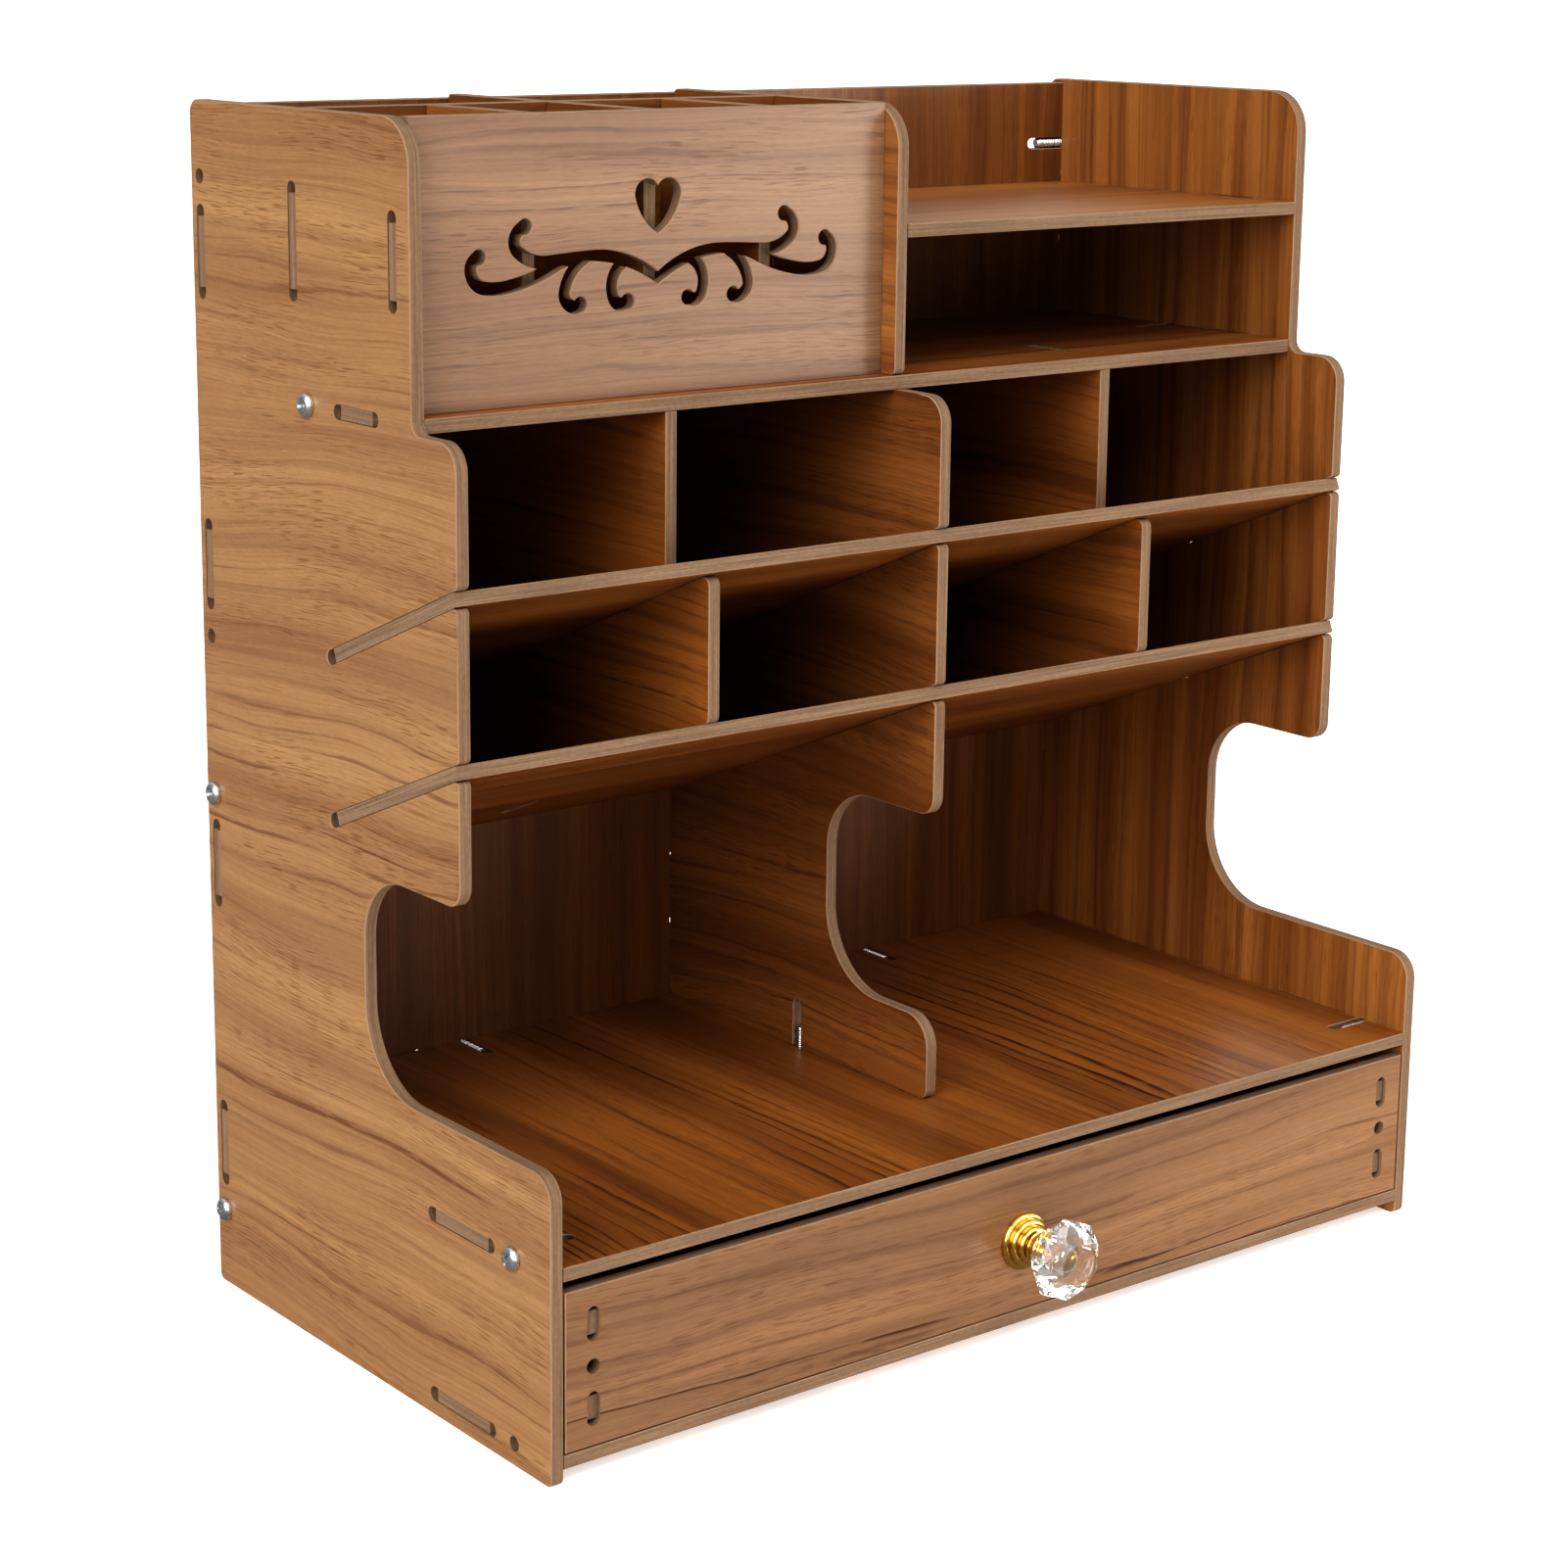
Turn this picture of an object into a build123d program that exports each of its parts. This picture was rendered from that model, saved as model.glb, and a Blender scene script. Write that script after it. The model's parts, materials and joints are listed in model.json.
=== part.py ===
import os
from math import cos, radians, sin, tan

from build123d import *

os.makedirs("parts", exist_ok=True)

# Flat-pack desk organizer: laminated fibreboard panels joined by tabs, slots and
# screws that cut into plain slots. X runs left to right, Y runs to the back, Z is up.
# Depths are measured forwards from the back edge of the sides.

# Boards and their fits
board = 4.0
slot_fit = 0.3
seat_gap = 0.15
tab_recess = 0.3
tab_end_gap = 3.4

# Carcass: width, then the heights stacked from the desk upwards
carcass_width = 340.0
plinth_gap = 4.6
drawer_bay_height = 49.9
open_bay_height = 128.0
cubby_pitch = 47.3
top_cubby_height = 40.7
pen_box_height = 79.5
side_shelf_rise = 44.5

# Carcass: depths of the stepped sides
upper_depth = 118.0
cubby_overhang = 21.5
drawer_overhang = 42.5
back_inset = 3.0
back_drop = 1.2
back_foot_gap = 1.0

# Outline of the sides and of the middle divider
rail_height = 26.0
cutout_height = 63.5
cutout_reach = 49.9
divider_foot_setback = 0.5
foot_radius = 2.5
rail_radius = 8.0
cutout_low_radius = 25.0
cutout_high_radius = 20.0
nose_radius = 6.0
step_radius = 8.0
step_fillet = 4.0
crown_front_radius = 13.0
crown_back_radius = 4.0
divider_foot_radius = 10.0
divider_toe_radius = 3.0
divider_back_radius = 2.0

# Slanted shelves and the open slots that hold them
slant = 22.7
slot_reach = 65.5
slot_mouth_radius = 1.6
shelf_setback = 1.0
cubby_divider_setback = 0.8
cubby_divider_radius = 2.5
tongue_gap = 2.5
slot_round_share = 0.48

# Tabs: lengths and places
short_tab = 16.5
middle_tab = 20.6
long_tab = 26.6
screw_offset = 25.7
back_screw_offset = 21.7
back_tab_offset = 28.5
side_tab_share = 0.76
back_tab_shares = (0.127, 0.373, 0.626, 0.88)
back_screw_turns = (-1, 1, -1, 1)
pen_tab_share = 0.52
partition_tab_share = 0.54
front_lap_share = 0.75
back_lap_share = 0.27
divider_back_tab_shares = (0.17, 0.78)
divider_foot_tab_share = 0.837
divider_screw_share = 0.543
cubby_tab_shares = (0.28, 0.66)

# Pen box
pen_front_setback = 6.5
lap_share = 0.5
partition_tab = 12.0

# Heart and scroll cut through the front of the pen box
scroll_half_width = 64.6
scroll_height = 26.5
scroll_base = 24.4
scroll_stroke = 3.7
scroll_ball = 4.4
heart_half_width = 7.9
heart_height = 15.2
heart_base = 45.3
bow_top_shares = ((0.0, 0.385), (0.16, 0.585), (0.356, 0.65), (0.594, 0.618))
bow_foot_shares = ((0.0, 0.25), (0.17, 0.455), (0.342, 0.532), (0.547, 0.42))
curl_shares = (
    ((0.557, 0.485), (0.667, 0.385), (0.79, 0.318), (0.9, 0.322), (0.968, 0.51), (0.927, 0.64)),
    ((0.6, 0.55), (0.67, 0.585), (0.729, 0.672), (0.746, 0.81), (0.694, 0.927)),
    ((0.387, 0.57), (0.452, 0.442), (0.493, 0.234), (0.484, 0.13), (0.442, 0.066), (0.411, 0.09)),
    ((0.19, 0.495), (0.228, 0.404), (0.246, 0.234), (0.234, 0.12), (0.195, 0.066), (0.162, 0.09)),
)
heart_lobe_shares = ((0.0, 0.87), (0.52, 1.0), (1.0, 0.72))
heart_flank_shares = ((1.0, 0.72), (0.7, 0.33), (0.0, 0.0))

# Drawer
drawer_side_gap = 0.65
drawer_foot_gap = 0.4
drawer_height = 46.2
drawer_box_height = 44.0
drawer_side_inset = 7.2
drawer_back_gap = 3.4
drawer_bottom_lift = 3.2
drawer_tab = 6.8
drawer_tab_recess = 1.2
drawer_tab_end_gap = 1.6
drawer_tab_offset = 12.3
drawer_bottom_tab_shares = (0.22, 0.78)

# Knob: turned base, cut crystal and the screw from inside the drawer
knob_ring_diameters = (17.5, 14.6, 11.6)
knob_ring_thickness = 2.0
knob_bevel = 0.8
knob_neck_diameter = 7.6
knob_cup_diameter = 12.6
knob_cup_start = 11.5
knob_cup_thickness = 2.2
knob_spigot_diameter = 7.0
knob_spigot_length = 5.0
crystal_facets = 8
crystal_back_diameter = 16.0
crystal_back_flat_diameter = 14.8
crystal_diameter = 24.8
crystal_star_diameter = 20.0
crystal_table_diameter = 12.4
crystal_dish_diameter = 9.2
crystal_back_height = 6.0
crystal_girdle_height = 2.2
crystal_star_height = 2.7
crystal_front_height = 4.6
crystal_dish_depth = 0.7
crystal_fit = 0.1
knob_screw_grip = 7.0
knob_bore_relief = 1.0
knob_drop = 1.4

# Screws, and the plain slots that their threads cut into
screw_diameter = 4.0
screw_core_diameter = 3.4
screw_length = 14.5
divider_screw_length = 11.0
screw_head_diameter = 7.0
screw_head_height = 2.6
screw_rim_share = 0.45
screw_crown_share = 0.6
screw_hole_fit = 0.4
screw_slot_fit = 0.3
screw_slot_depth = 15.5

# Heights worked out from the stack
half_board = board / 2
bottom_top = plinth_gap + board
floor_top = bottom_top + drawer_bay_height + board
lower_shelf_level = floor_top + open_bay_height
upper_shelf_level = lower_shelf_level + cubby_pitch
deck_top = upper_shelf_level + top_cubby_height + board
side_height = deck_top + pen_box_height
side_shelf_top = deck_top + side_shelf_rise
rail_top = floor_top + rail_height
cutout_roof = rail_top + cutout_height
bottom_middle = bottom_top - half_board
floor_middle = floor_top - half_board
deck_middle = deck_top - half_board
deck_under = deck_top - board
side_shelf_middle = side_shelf_top - half_board

# Depths and places across worked out from the steps
middle_depth = upper_depth + cubby_overhang
lower_depth = middle_depth + drawer_overhang
cutout_back = middle_depth - cutout_reach
back_face = back_inset + board
back_middle = back_inset + half_board
board_back = back_face + seat_gap
pen_front_face = upper_depth - pen_front_setback
pen_front_back = pen_front_face - board
partition_back = (back_face + pen_front_back - board) / 2
partition_face = partition_back + board
half_width = carcass_width / 2
inner_half = half_width - board
span_half = inner_half - seat_gap
bay_centre = (inner_half + half_board) / 2
back_tab_across = bay_centre + back_tab_offset
quarter_bay = (inner_half - half_board) / 4
knob_length = knob_cup_start + crystal_back_height + crystal_girdle_height + crystal_front_height
back_y = (lower_depth + knob_length) / 2
slot_width = board + slot_fit
tab_reach = seat_gap + board - tab_recess
drawer_tab_reach = seat_gap + board - drawer_tab_recess
screw_hole = screw_diameter + screw_hole_fit
screw_slot = screw_core_diameter + screw_slot_fit

# Tabs and screws that several boards share
back_tab_levels = [share * side_height for share in back_tab_shares]
back_screw_levels = [
    level_of + turn * back_screw_offset for level_of, turn in zip(back_tab_levels, back_screw_turns)
]
upper_tab_depth = side_tab_share * upper_depth
upper_screw_depth = upper_tab_depth - screw_offset
lower_tab_depth = side_tab_share * lower_depth
lower_screw_depth = lower_tab_depth + screw_offset
pen_tab_level = deck_top + pen_tab_share * pen_box_height
partition_tab_level = deck_top + partition_tab_share * pen_box_height
front_lap_depth = front_lap_share * upper_depth
back_lap_depth = back_lap_share * upper_depth
divider_depth = middle_depth - divider_foot_setback
divider_back_levels = [
    floor_top + share * (deck_under - floor_top) for share in divider_back_tab_shares
]
divider_foot_tab_depth = divider_foot_tab_share * divider_depth
divider_screw_depth = divider_screw_share * divider_depth
cubby_back_tab, cubby_front_tab = [share * middle_depth for share in cubby_tab_shares]


def upright(right_face):
    # Plane of a board standing front to back, drawn as (depth, height)
    return Plane(origin=(right_face, back_y, 0), x_dir=(0, -1, 0), z_dir=(-1, 0, 0))


def facing(back_depth):
    # Plane of a board standing side to side, drawn as (across, height)
    return Plane(origin=(0, back_y - back_depth, 0), x_dir=(1, 0, 0), z_dir=(0, -1, 0))


def lying(top):
    # Plane of a lying board, drawn as (across, depth) on its top face
    return Plane(origin=(0, back_y, top), x_dir=(1, 0, 0), z_dir=(0, 0, -1))


def slanted(front_level):
    # Middle plane of a slanted shelf, drawn as (across, distance up the slope)
    return Plane(
        origin=(0, back_y - middle_depth, front_level),
        x_dir=(1, 0, 0),
        z_dir=(0, -sin(radians(slant)), -cos(radians(slant))),
    )


def slant_level(front_level, depth, offset):
    # Height of a slanted shelf at a depth, offset square to its middle plane
    run = (depth - middle_depth) * tan(radians(slant))
    return front_level + run + offset / cos(radians(slant))


def slope_point(front_level, depth, offset):
    # Place on a slanted shelf, offset square to its middle plane at a depth
    level_there = slant_level(front_level, depth, 0)
    return (depth - offset * sin(radians(slant)), level_there + offset * cos(radians(slant)))


def panel(left, right, low, high):
    # Plain rectangular board between four edges
    with Locations(((left + right) / 2, (low + high) / 2)):
        Rectangle(right - left, high - low)


def tab(places, length, turn=0, reach=tab_reach):
    # Tabs standing out of a board's edge at each place on that edge
    with Locations(*places):
        Rectangle(length, 2 * reach, rotation=turn)


def tab_slot(places, length, turn=0, end_gap=tab_end_gap):
    # Round-ended slots that take tabs, with an open rounding at each end
    with Locations(*places):
        SlotOverall(length + 2 * end_gap, slot_width, rotation=turn, mode=Mode.SUBTRACT)


def screw_holes(places):
    with Locations(*places):
        Circle(screw_hole / 2, mode=Mode.SUBTRACT)


def screw_slots(places, inward):
    # Slots cut into a board's edge, narrower than the thread that cuts into their walls
    with Locations(*[Location((across, up), inward) for across, up in places]):
        SlotOverall(2 * screw_slot_depth, screw_slot, mode=Mode.SUBTRACT)


def shelf_slot(front_level):
    # Corners of an open slanted slot, from its lower lip round to its upper lip
    half = slot_width / 2
    lip = half / cos(radians(slant))
    back = (-half * cos(radians(slant)), -half * sin(radians(slant)))
    end_depth = middle_depth - slot_reach + back[0]
    end_level = front_level - slot_reach * tan(radians(slant)) + back[1]
    rounding = slot_round_share * slot_width
    return [
        ((middle_depth, front_level - lip), slot_mouth_radius),
        ((end_depth - back[1], end_level + back[0]), rounding),
        ((end_depth + back[1], end_level - back[0]), rounding),
        ((middle_depth, front_level + lip), slot_mouth_radius),
    ]


def cubby_front(top):
    # Front edge shared by the sides and the middle divider, from the cut-out up to a top
    return [
        ((cutout_back, rail_top), cutout_low_radius),
        ((cutout_back, cutout_roof), cutout_high_radius),
        ((middle_depth, cutout_roof), nose_radius),
        *shelf_slot(lower_shelf_level),
        *shelf_slot(upper_shelf_level),
        ((middle_depth, top), step_radius),
    ]


def rounded_outline(corners):
    with BuildLine() as outline:
        FilletPolyline(
            *[point for point, radius in corners],
            radius=[radius for point, radius in corners],
            close=True,
        )
    make_face(outline.edges())


def save(piece, name):
    piece.part.label = name
    export_step(piece.part, f"parts/{name}.step")


# Sides: stepped outline with the round cut-out, the slanted slots and the tab slots
side_outline = [
    ((0, 0), foot_radius),
    ((lower_depth, 0), foot_radius),
    ((lower_depth, rail_top), rail_radius),
    *cubby_front(deck_under),
    ((upper_depth, deck_under), step_fillet),
    ((upper_depth, side_height), crown_front_radius),
    ((0, side_height), crown_back_radius),
]


def side_cuts():
    tab_slot([(back_middle, place) for place in back_tab_levels], middle_tab, 90)
    tab_slot([(upper_tab_depth, deck_middle)], short_tab)
    tab_slot([(lower_tab_depth, floor_middle), (lower_tab_depth, bottom_middle)], long_tab)
    screw_holes([(back_middle, place) for place in back_screw_levels])
    screw_holes([(upper_screw_depth, deck_middle)])
    screw_holes([(lower_screw_depth, floor_middle), (lower_screw_depth, bottom_middle)])


with BuildPart() as left_side_panel:
    with BuildSketch(upright(-inner_half)):
        rounded_outline(side_outline)
        side_cuts()
        tab_slot([(partition_back + half_board, partition_tab_level)], long_tab, 90)
        tab_slot([(pen_front_back + half_board, pen_tab_level)], middle_tab, 90)
    extrude(amount=board)
save(left_side_panel, "left_side_panel")

with BuildPart() as right_side_panel:
    with BuildSketch(upright(half_width)):
        rounded_outline(side_outline)
        side_cuts()
        tab_slot([(upper_tab_depth, side_shelf_middle)], short_tab)
    extrude(amount=board)
save(right_side_panel, "right_side_panel")

# Back: tabs into both sides, slots for the screws at its ends and for the boards in front of it
with BuildPart() as back_panel:
    with BuildSketch(facing(back_inset)):
        panel(-span_half, span_half, back_foot_gap, side_height - back_drop)
        for edge, inward in ((-span_half, 0), (span_half, 180)):
            tab([(edge, place) for place in back_tab_levels], middle_tab, 90)
            screw_slots([(edge, place) for place in back_screw_levels], inward)
        for across in (-back_tab_across, back_tab_across):
            tab_slot([(across, deck_middle), (across, floor_middle), (across, bottom_middle)], middle_tab)
        tab_slot([(bay_centre, side_shelf_middle)], middle_tab)
        tab_slot([(0, place) for place in divider_back_levels], middle_tab, 90)
        tab_slot([(0, pen_tab_level)], middle_tab, 90)
        screw_holes([(-bay_centre, floor_middle), (bay_centre, floor_middle)])
    extrude(amount=board)
save(back_panel, "back_panel")


def lying_board(front_depth, side_tab, tab_depth, screw_depth):
    # Board between the sides with a tab and a screw slot at each end and two tabs behind
    panel(-span_half, span_half, board_back, front_depth)
    for edge, inward in ((-span_half, 0), (span_half, 180)):
        tab([(edge, tab_depth)], side_tab, 90)
        screw_slots([(edge, screw_depth)], inward)
    tab([(-back_tab_across, board_back), (back_tab_across, board_back)], middle_tab)


# Deck: roof of the cubbies and floor of the pen box
with BuildPart() as deck:
    with BuildSketch(lying(deck_top)):
        lying_board(upper_depth, short_tab, upper_tab_depth, upper_screw_depth)
        tab_slot([(0, front_lap_depth), (0, back_lap_depth)], middle_tab, 90)
        tab_slot([(-bay_centre, back_lap_depth)], partition_tab, 90)
        tab_slot([(-bay_centre, cubby_front_tab), (bay_centre, cubby_front_tab)], partition_tab, 90)
        for across in (-bay_centre - quarter_bay, -bay_centre + quarter_bay):
            tab_slot([(across, front_lap_depth)], partition_tab, 90)
    extrude(amount=board)
save(deck, "deck")

# Floor of the open bays, which is also the roof over the drawer
with BuildPart() as bay_floor:
    with BuildSketch(lying(floor_top)):
        lying_board(lower_depth, long_tab, lower_tab_depth, lower_screw_depth)
        screw_slots([(-bay_centre, board_back), (bay_centre, board_back)], 90)
        tab_slot([(0, divider_foot_tab_depth)], middle_tab, 90)
        screw_holes([(0, divider_screw_depth)])
    extrude(amount=board)
save(bay_floor, "bay_floor")

# Bottom board that the drawer runs on
with BuildPart() as bottom_board:
    with BuildSketch(lying(bottom_top)):
        lying_board(lower_depth, long_tab, lower_tab_depth, lower_screw_depth)
    extrude(amount=board)
save(bottom_board, "bottom_board")

# Upper divider between the pen box and the side shelf
with BuildPart() as upper_divider:
    with BuildSketch(upright(half_board)):
        rounded_outline([
            ((board_back, deck_top + seat_gap), divider_back_radius),
            ((upper_depth, deck_top + seat_gap), divider_back_radius),
            ((upper_depth, side_height), crown_front_radius),
            ((board_back, side_height), divider_back_radius),
        ])
        tab([(front_lap_depth, deck_top + seat_gap)], middle_tab)
        tab([(board_back, pen_tab_level)], middle_tab, 90)
        tab_slot([(partition_back + half_board, partition_tab_level)], long_tab, 90)
        tab_slot([(pen_front_back + half_board, pen_tab_level)], middle_tab, 90)
        tab_slot([(upper_tab_depth, side_shelf_middle)], short_tab)
    extrude(amount=board)
save(upper_divider, "upper_divider")

# Shelf between the upper divider and the right side
with BuildPart() as side_shelf:
    with BuildSketch(lying(side_shelf_top)):
        panel(half_board + seat_gap, span_half, board_back, upper_depth)
        tab([(half_board + seat_gap, upper_tab_depth), (span_half, upper_tab_depth)], short_tab, 90)
        tab([(bay_centre, board_back)], middle_tab)
    extrude(amount=board)
save(side_shelf, "side_shelf")


def scaled(shares, width, height):
    return [(across * width, up * height) for across, up in shares]


def curl_line(shares):
    # Middle line of a curl: arcs that run on smoothly from one to the next
    points = scaled(shares, scroll_half_width, scroll_height)
    with BuildLine() as line:
        arc = ThreePointArc(*points[:3])
        for point in points[3:]:
            arc = TangentArc(arc @ 1, point, tangent=arc % 1)
    return line.wire()


curl_lines = [curl_line(shares) for shares in curl_shares]

# Scroll: a bow that dips in the middle, with hooks and drops, the same on both halves
with BuildSketch() as scroll:
    with BuildLine():
        top_points = scaled(bow_top_shares, scroll_half_width, scroll_height)
        foot_points = scaled(bow_foot_shares, scroll_half_width, scroll_height)
        top_arc = ThreePointArc(*top_points[:3])
        top_end = TangentArc(top_arc @ 1, top_points[3], tangent=top_arc % 1)
        foot_arc = ThreePointArc(*foot_points[:3])
        foot_end = TangentArc(foot_arc @ 1, foot_points[3], tangent=foot_arc % 1)
        Line(top_end @ 1, foot_end @ 1)
        Line(top_arc @ 0, foot_arc @ 0)
    make_face()
    for line in curl_lines:
        SlotArc(line, scroll_stroke)
        with Locations(line @ 1):
            Circle(scroll_ball / 2)
    mirror(about=Plane.YZ)

with BuildSketch() as heart:
    with BuildLine():
        ThreePointArc(*scaled(heart_lobe_shares, heart_half_width, heart_height))
        ThreePointArc(*scaled(heart_flank_shares, heart_half_width, heart_height))
        Line((0, 0), scaled(heart_lobe_shares, heart_half_width, heart_height)[0])
    make_face()
    mirror(about=Plane.YZ)

# Front of the pen box with the heart and scroll cut through it
with BuildPart() as pen_box_front:
    with BuildSketch(facing(pen_front_back)):
        panel(-span_half, -half_board - seat_gap, deck_top + seat_gap, side_height)
        tab([(-span_half, pen_tab_level), (-half_board - seat_gap, pen_tab_level)], middle_tab, 90)
        with Locations((-bay_centre, deck_top + scroll_base)):
            add(scroll.sketch, mode=Mode.SUBTRACT)
        with Locations((-bay_centre, deck_top + heart_base)):
            add(heart.sketch, mode=Mode.SUBTRACT)
    extrude(amount=board)
save(pen_box_front, "pen_box_front")

# Long partition of the pen box, half-lapped with the centre partition
lap_level = deck_top + lap_share * pen_box_height
with BuildPart() as pen_box_long_partition:
    with BuildSketch(facing(partition_back)):
        panel(-span_half, -half_board - seat_gap, deck_top + seat_gap, side_height)
        for edge in (-span_half, -half_board - seat_gap):
            tab([(edge, partition_tab_level)], long_tab, 90)
        with Locations((-bay_centre, side_height)):
            Rectangle(slot_width, 2 * (side_height - lap_level), mode=Mode.SUBTRACT)
        for across in (-bay_centre - quarter_bay, -bay_centre + quarter_bay):
            tab_slot([(across, partition_tab_level)], partition_tab, 90)
    extrude(amount=board)
save(pen_box_long_partition, "pen_box_long_partition")

with BuildPart() as pen_box_centre_partition:
    with BuildSketch(upright(-bay_centre + half_board)):
        panel(board_back, pen_front_back - seat_gap, deck_top + seat_gap, side_height)
        tab([(back_lap_depth, deck_top + seat_gap)], partition_tab)
        with Locations((partition_back + half_board, deck_top)):
            Rectangle(slot_width, 2 * (lap_level + seat_gap - deck_top), mode=Mode.SUBTRACT)
    extrude(amount=board)
save(pen_box_centre_partition, "pen_box_centre_partition")

for name, across in (
    ("pen_box_left_partition", -bay_centre - quarter_bay),
    ("pen_box_right_partition", -bay_centre + quarter_bay),
):
    with BuildPart() as short_partition:
        with BuildSketch(upright(across + half_board)):
            panel(partition_face + seat_gap, pen_front_back - seat_gap, deck_top + seat_gap, side_height)
            tab([(front_lap_depth, deck_top + seat_gap)], partition_tab)
            tab([(partition_face + seat_gap, partition_tab_level)], partition_tab, 90)
        extrude(amount=board)
    save(short_partition, name)

# Middle divider of the cubbies and the open bays
with BuildPart() as middle_divider:
    with BuildSketch(upright(half_board)):
        rounded_outline([
            ((board_back, floor_top + seat_gap), divider_back_radius),
            ((divider_depth, floor_top + seat_gap), divider_toe_radius),
            ((divider_depth, rail_top), divider_foot_radius),
            *cubby_front(deck_under - seat_gap),
            ((board_back, deck_under - seat_gap), divider_back_radius),
        ])
        tab([(divider_foot_tab_depth, floor_top + seat_gap)], middle_tab)
        tab([(back_lap_depth, deck_under - seat_gap)], middle_tab)
        tab([(board_back, place) for place in divider_back_levels], middle_tab, 90)
        screw_slots([(divider_screw_depth, floor_top + seat_gap)], 90)
    extrude(amount=board)
save(middle_divider, "middle_divider")

# Slanted shelves: a full-width tongue in the open slots, a narrower board behind it
slope = cos(radians(slant))
tongue_end = -slot_reach / slope + tongue_gap
shelf_back = (board_back + half_board * sin(radians(slant)) - middle_depth) / slope
for name, front_level, tab_depths in (
    ("upper_slanted_shelf", upper_shelf_level, (cubby_back_tab, cubby_front_tab)),
    ("lower_slanted_shelf", lower_shelf_level, (cubby_back_tab,)),
):
    with BuildPart() as slanted_shelf:
        with BuildSketch(slanted(front_level)):
            panel(-half_width, half_width, tongue_end, -shelf_setback)
            panel(-span_half, span_half, shelf_back, tongue_end)
            with Locations((0, shelf_back)):
                SlotOverall(2 * (tongue_end - shelf_back), slot_width, rotation=90, mode=Mode.SUBTRACT)
            for across in (-bay_centre, bay_centre):
                for depth in tab_depths:
                    tab_slot([(across, (depth - middle_depth) / slope)], partition_tab, 90)
        extrude(amount=half_board, both=True)
    save(slanted_shelf, name)

# Cubby dividers: the upper pair hangs under the deck, the lower pair stands between the shelves
edge_offset = half_board + seat_gap
lower_front = middle_depth - cubby_divider_setback
lower_front_foot = slant_level(lower_shelf_level, lower_front, edge_offset)
lower_front_top = slant_level(upper_shelf_level, lower_front, -edge_offset)
for side_name, across in (("left", -bay_centre), ("right", bay_centre)):
    with BuildPart() as upper_cubby_divider:
        with BuildSketch(upright(across + half_board)):
            rounded_outline([
                ((board_back, slant_level(upper_shelf_level, board_back, edge_offset)), 0),
                ((upper_depth, slant_level(upper_shelf_level, upper_depth, edge_offset)), 0),
                ((upper_depth, deck_under - seat_gap), 0),
                ((board_back, deck_under - seat_gap), 0),
            ])
            tab([(cubby_front_tab, deck_under - seat_gap)], partition_tab)
            tab([slope_point(upper_shelf_level, cubby_front_tab, edge_offset)], partition_tab, slant)
        extrude(amount=board)
    save(upper_cubby_divider, f"upper_{side_name}_cubby_divider")

    with BuildPart() as lower_cubby_divider:
        with BuildSketch(upright(across + half_board)):
            rounded_outline([
                ((board_back, slant_level(lower_shelf_level, board_back, edge_offset)), 0),
                ((lower_front, lower_front_foot), cubby_divider_radius),
                ((lower_front, lower_front_top), cubby_divider_radius),
                ((board_back, slant_level(upper_shelf_level, board_back, -edge_offset)), 0),
            ])
            tab([slope_point(lower_shelf_level, cubby_back_tab, edge_offset)], partition_tab, slant)
            tab([slope_point(upper_shelf_level, cubby_back_tab, -edge_offset)], partition_tab, slant)
        extrude(amount=board)
    save(lower_cubby_divider, f"lower_{side_name}_cubby_divider")

# Drawer places
drawer_foot = bottom_top + drawer_foot_gap
drawer_top = drawer_foot + drawer_height
drawer_box_top = drawer_foot + drawer_box_height
drawer_middle = drawer_foot + drawer_height / 2
knob_level = drawer_middle - knob_drop
drawer_half = inner_half - drawer_side_gap
drawer_side_face = drawer_half - drawer_side_inset
drawer_side_middle = drawer_side_face - half_board
drawer_front_back = lower_depth - board
drawer_back_depth = back_face + drawer_back_gap
drawer_box_back = drawer_back_depth + board + seat_gap
drawer_box_front = drawer_front_back - seat_gap
drawer_box_length = drawer_box_front - drawer_box_back
drawer_bottom_top = drawer_foot + drawer_bottom_lift + board
drawer_bottom_middle = drawer_bottom_top - half_board
drawer_tab_levels = (drawer_middle - drawer_tab_offset, drawer_middle + drawer_tab_offset)
drawer_bottom_tabs = [
    drawer_box_back + share * drawer_box_length for share in drawer_bottom_tab_shares
]


def drawer_end(top):
    # Outline shared by the front and the back of the drawer, slotted for its sides
    panel(-drawer_half, drawer_half, drawer_foot, top)
    for across in (-drawer_side_middle, drawer_side_middle):
        tab_slot([(across, place) for place in drawer_tab_levels], drawer_tab, 90, drawer_tab_end_gap)
        screw_holes([(across, drawer_middle)])


with BuildPart() as drawer_front:
    with BuildSketch(facing(drawer_front_back)):
        drawer_end(drawer_top)
        screw_holes([(0, knob_level)])
    extrude(amount=board)
save(drawer_front, "drawer_front")

with BuildPart() as drawer_back:
    with BuildSketch(facing(drawer_back_depth)):
        drawer_end(drawer_box_top)
    extrude(amount=board)
save(drawer_back, "drawer_back")

for name, right_face in (
    ("drawer_left_side", -drawer_side_face + board),
    ("drawer_right_side", drawer_side_face),
):
    with BuildPart() as drawer_side:
        with BuildSketch(upright(right_face)):
            panel(drawer_box_back, drawer_box_front, drawer_foot, drawer_box_top)
            for edge, inward in ((drawer_box_back, 0), (drawer_box_front, 180)):
                tab([(edge, place) for place in drawer_tab_levels], drawer_tab, 90, drawer_tab_reach)
                screw_slots([(edge, drawer_middle)], inward)
            tab_slot([(depth, drawer_bottom_middle) for depth in drawer_bottom_tabs], middle_tab)
        extrude(amount=board)
    save(drawer_side, name)

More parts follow.
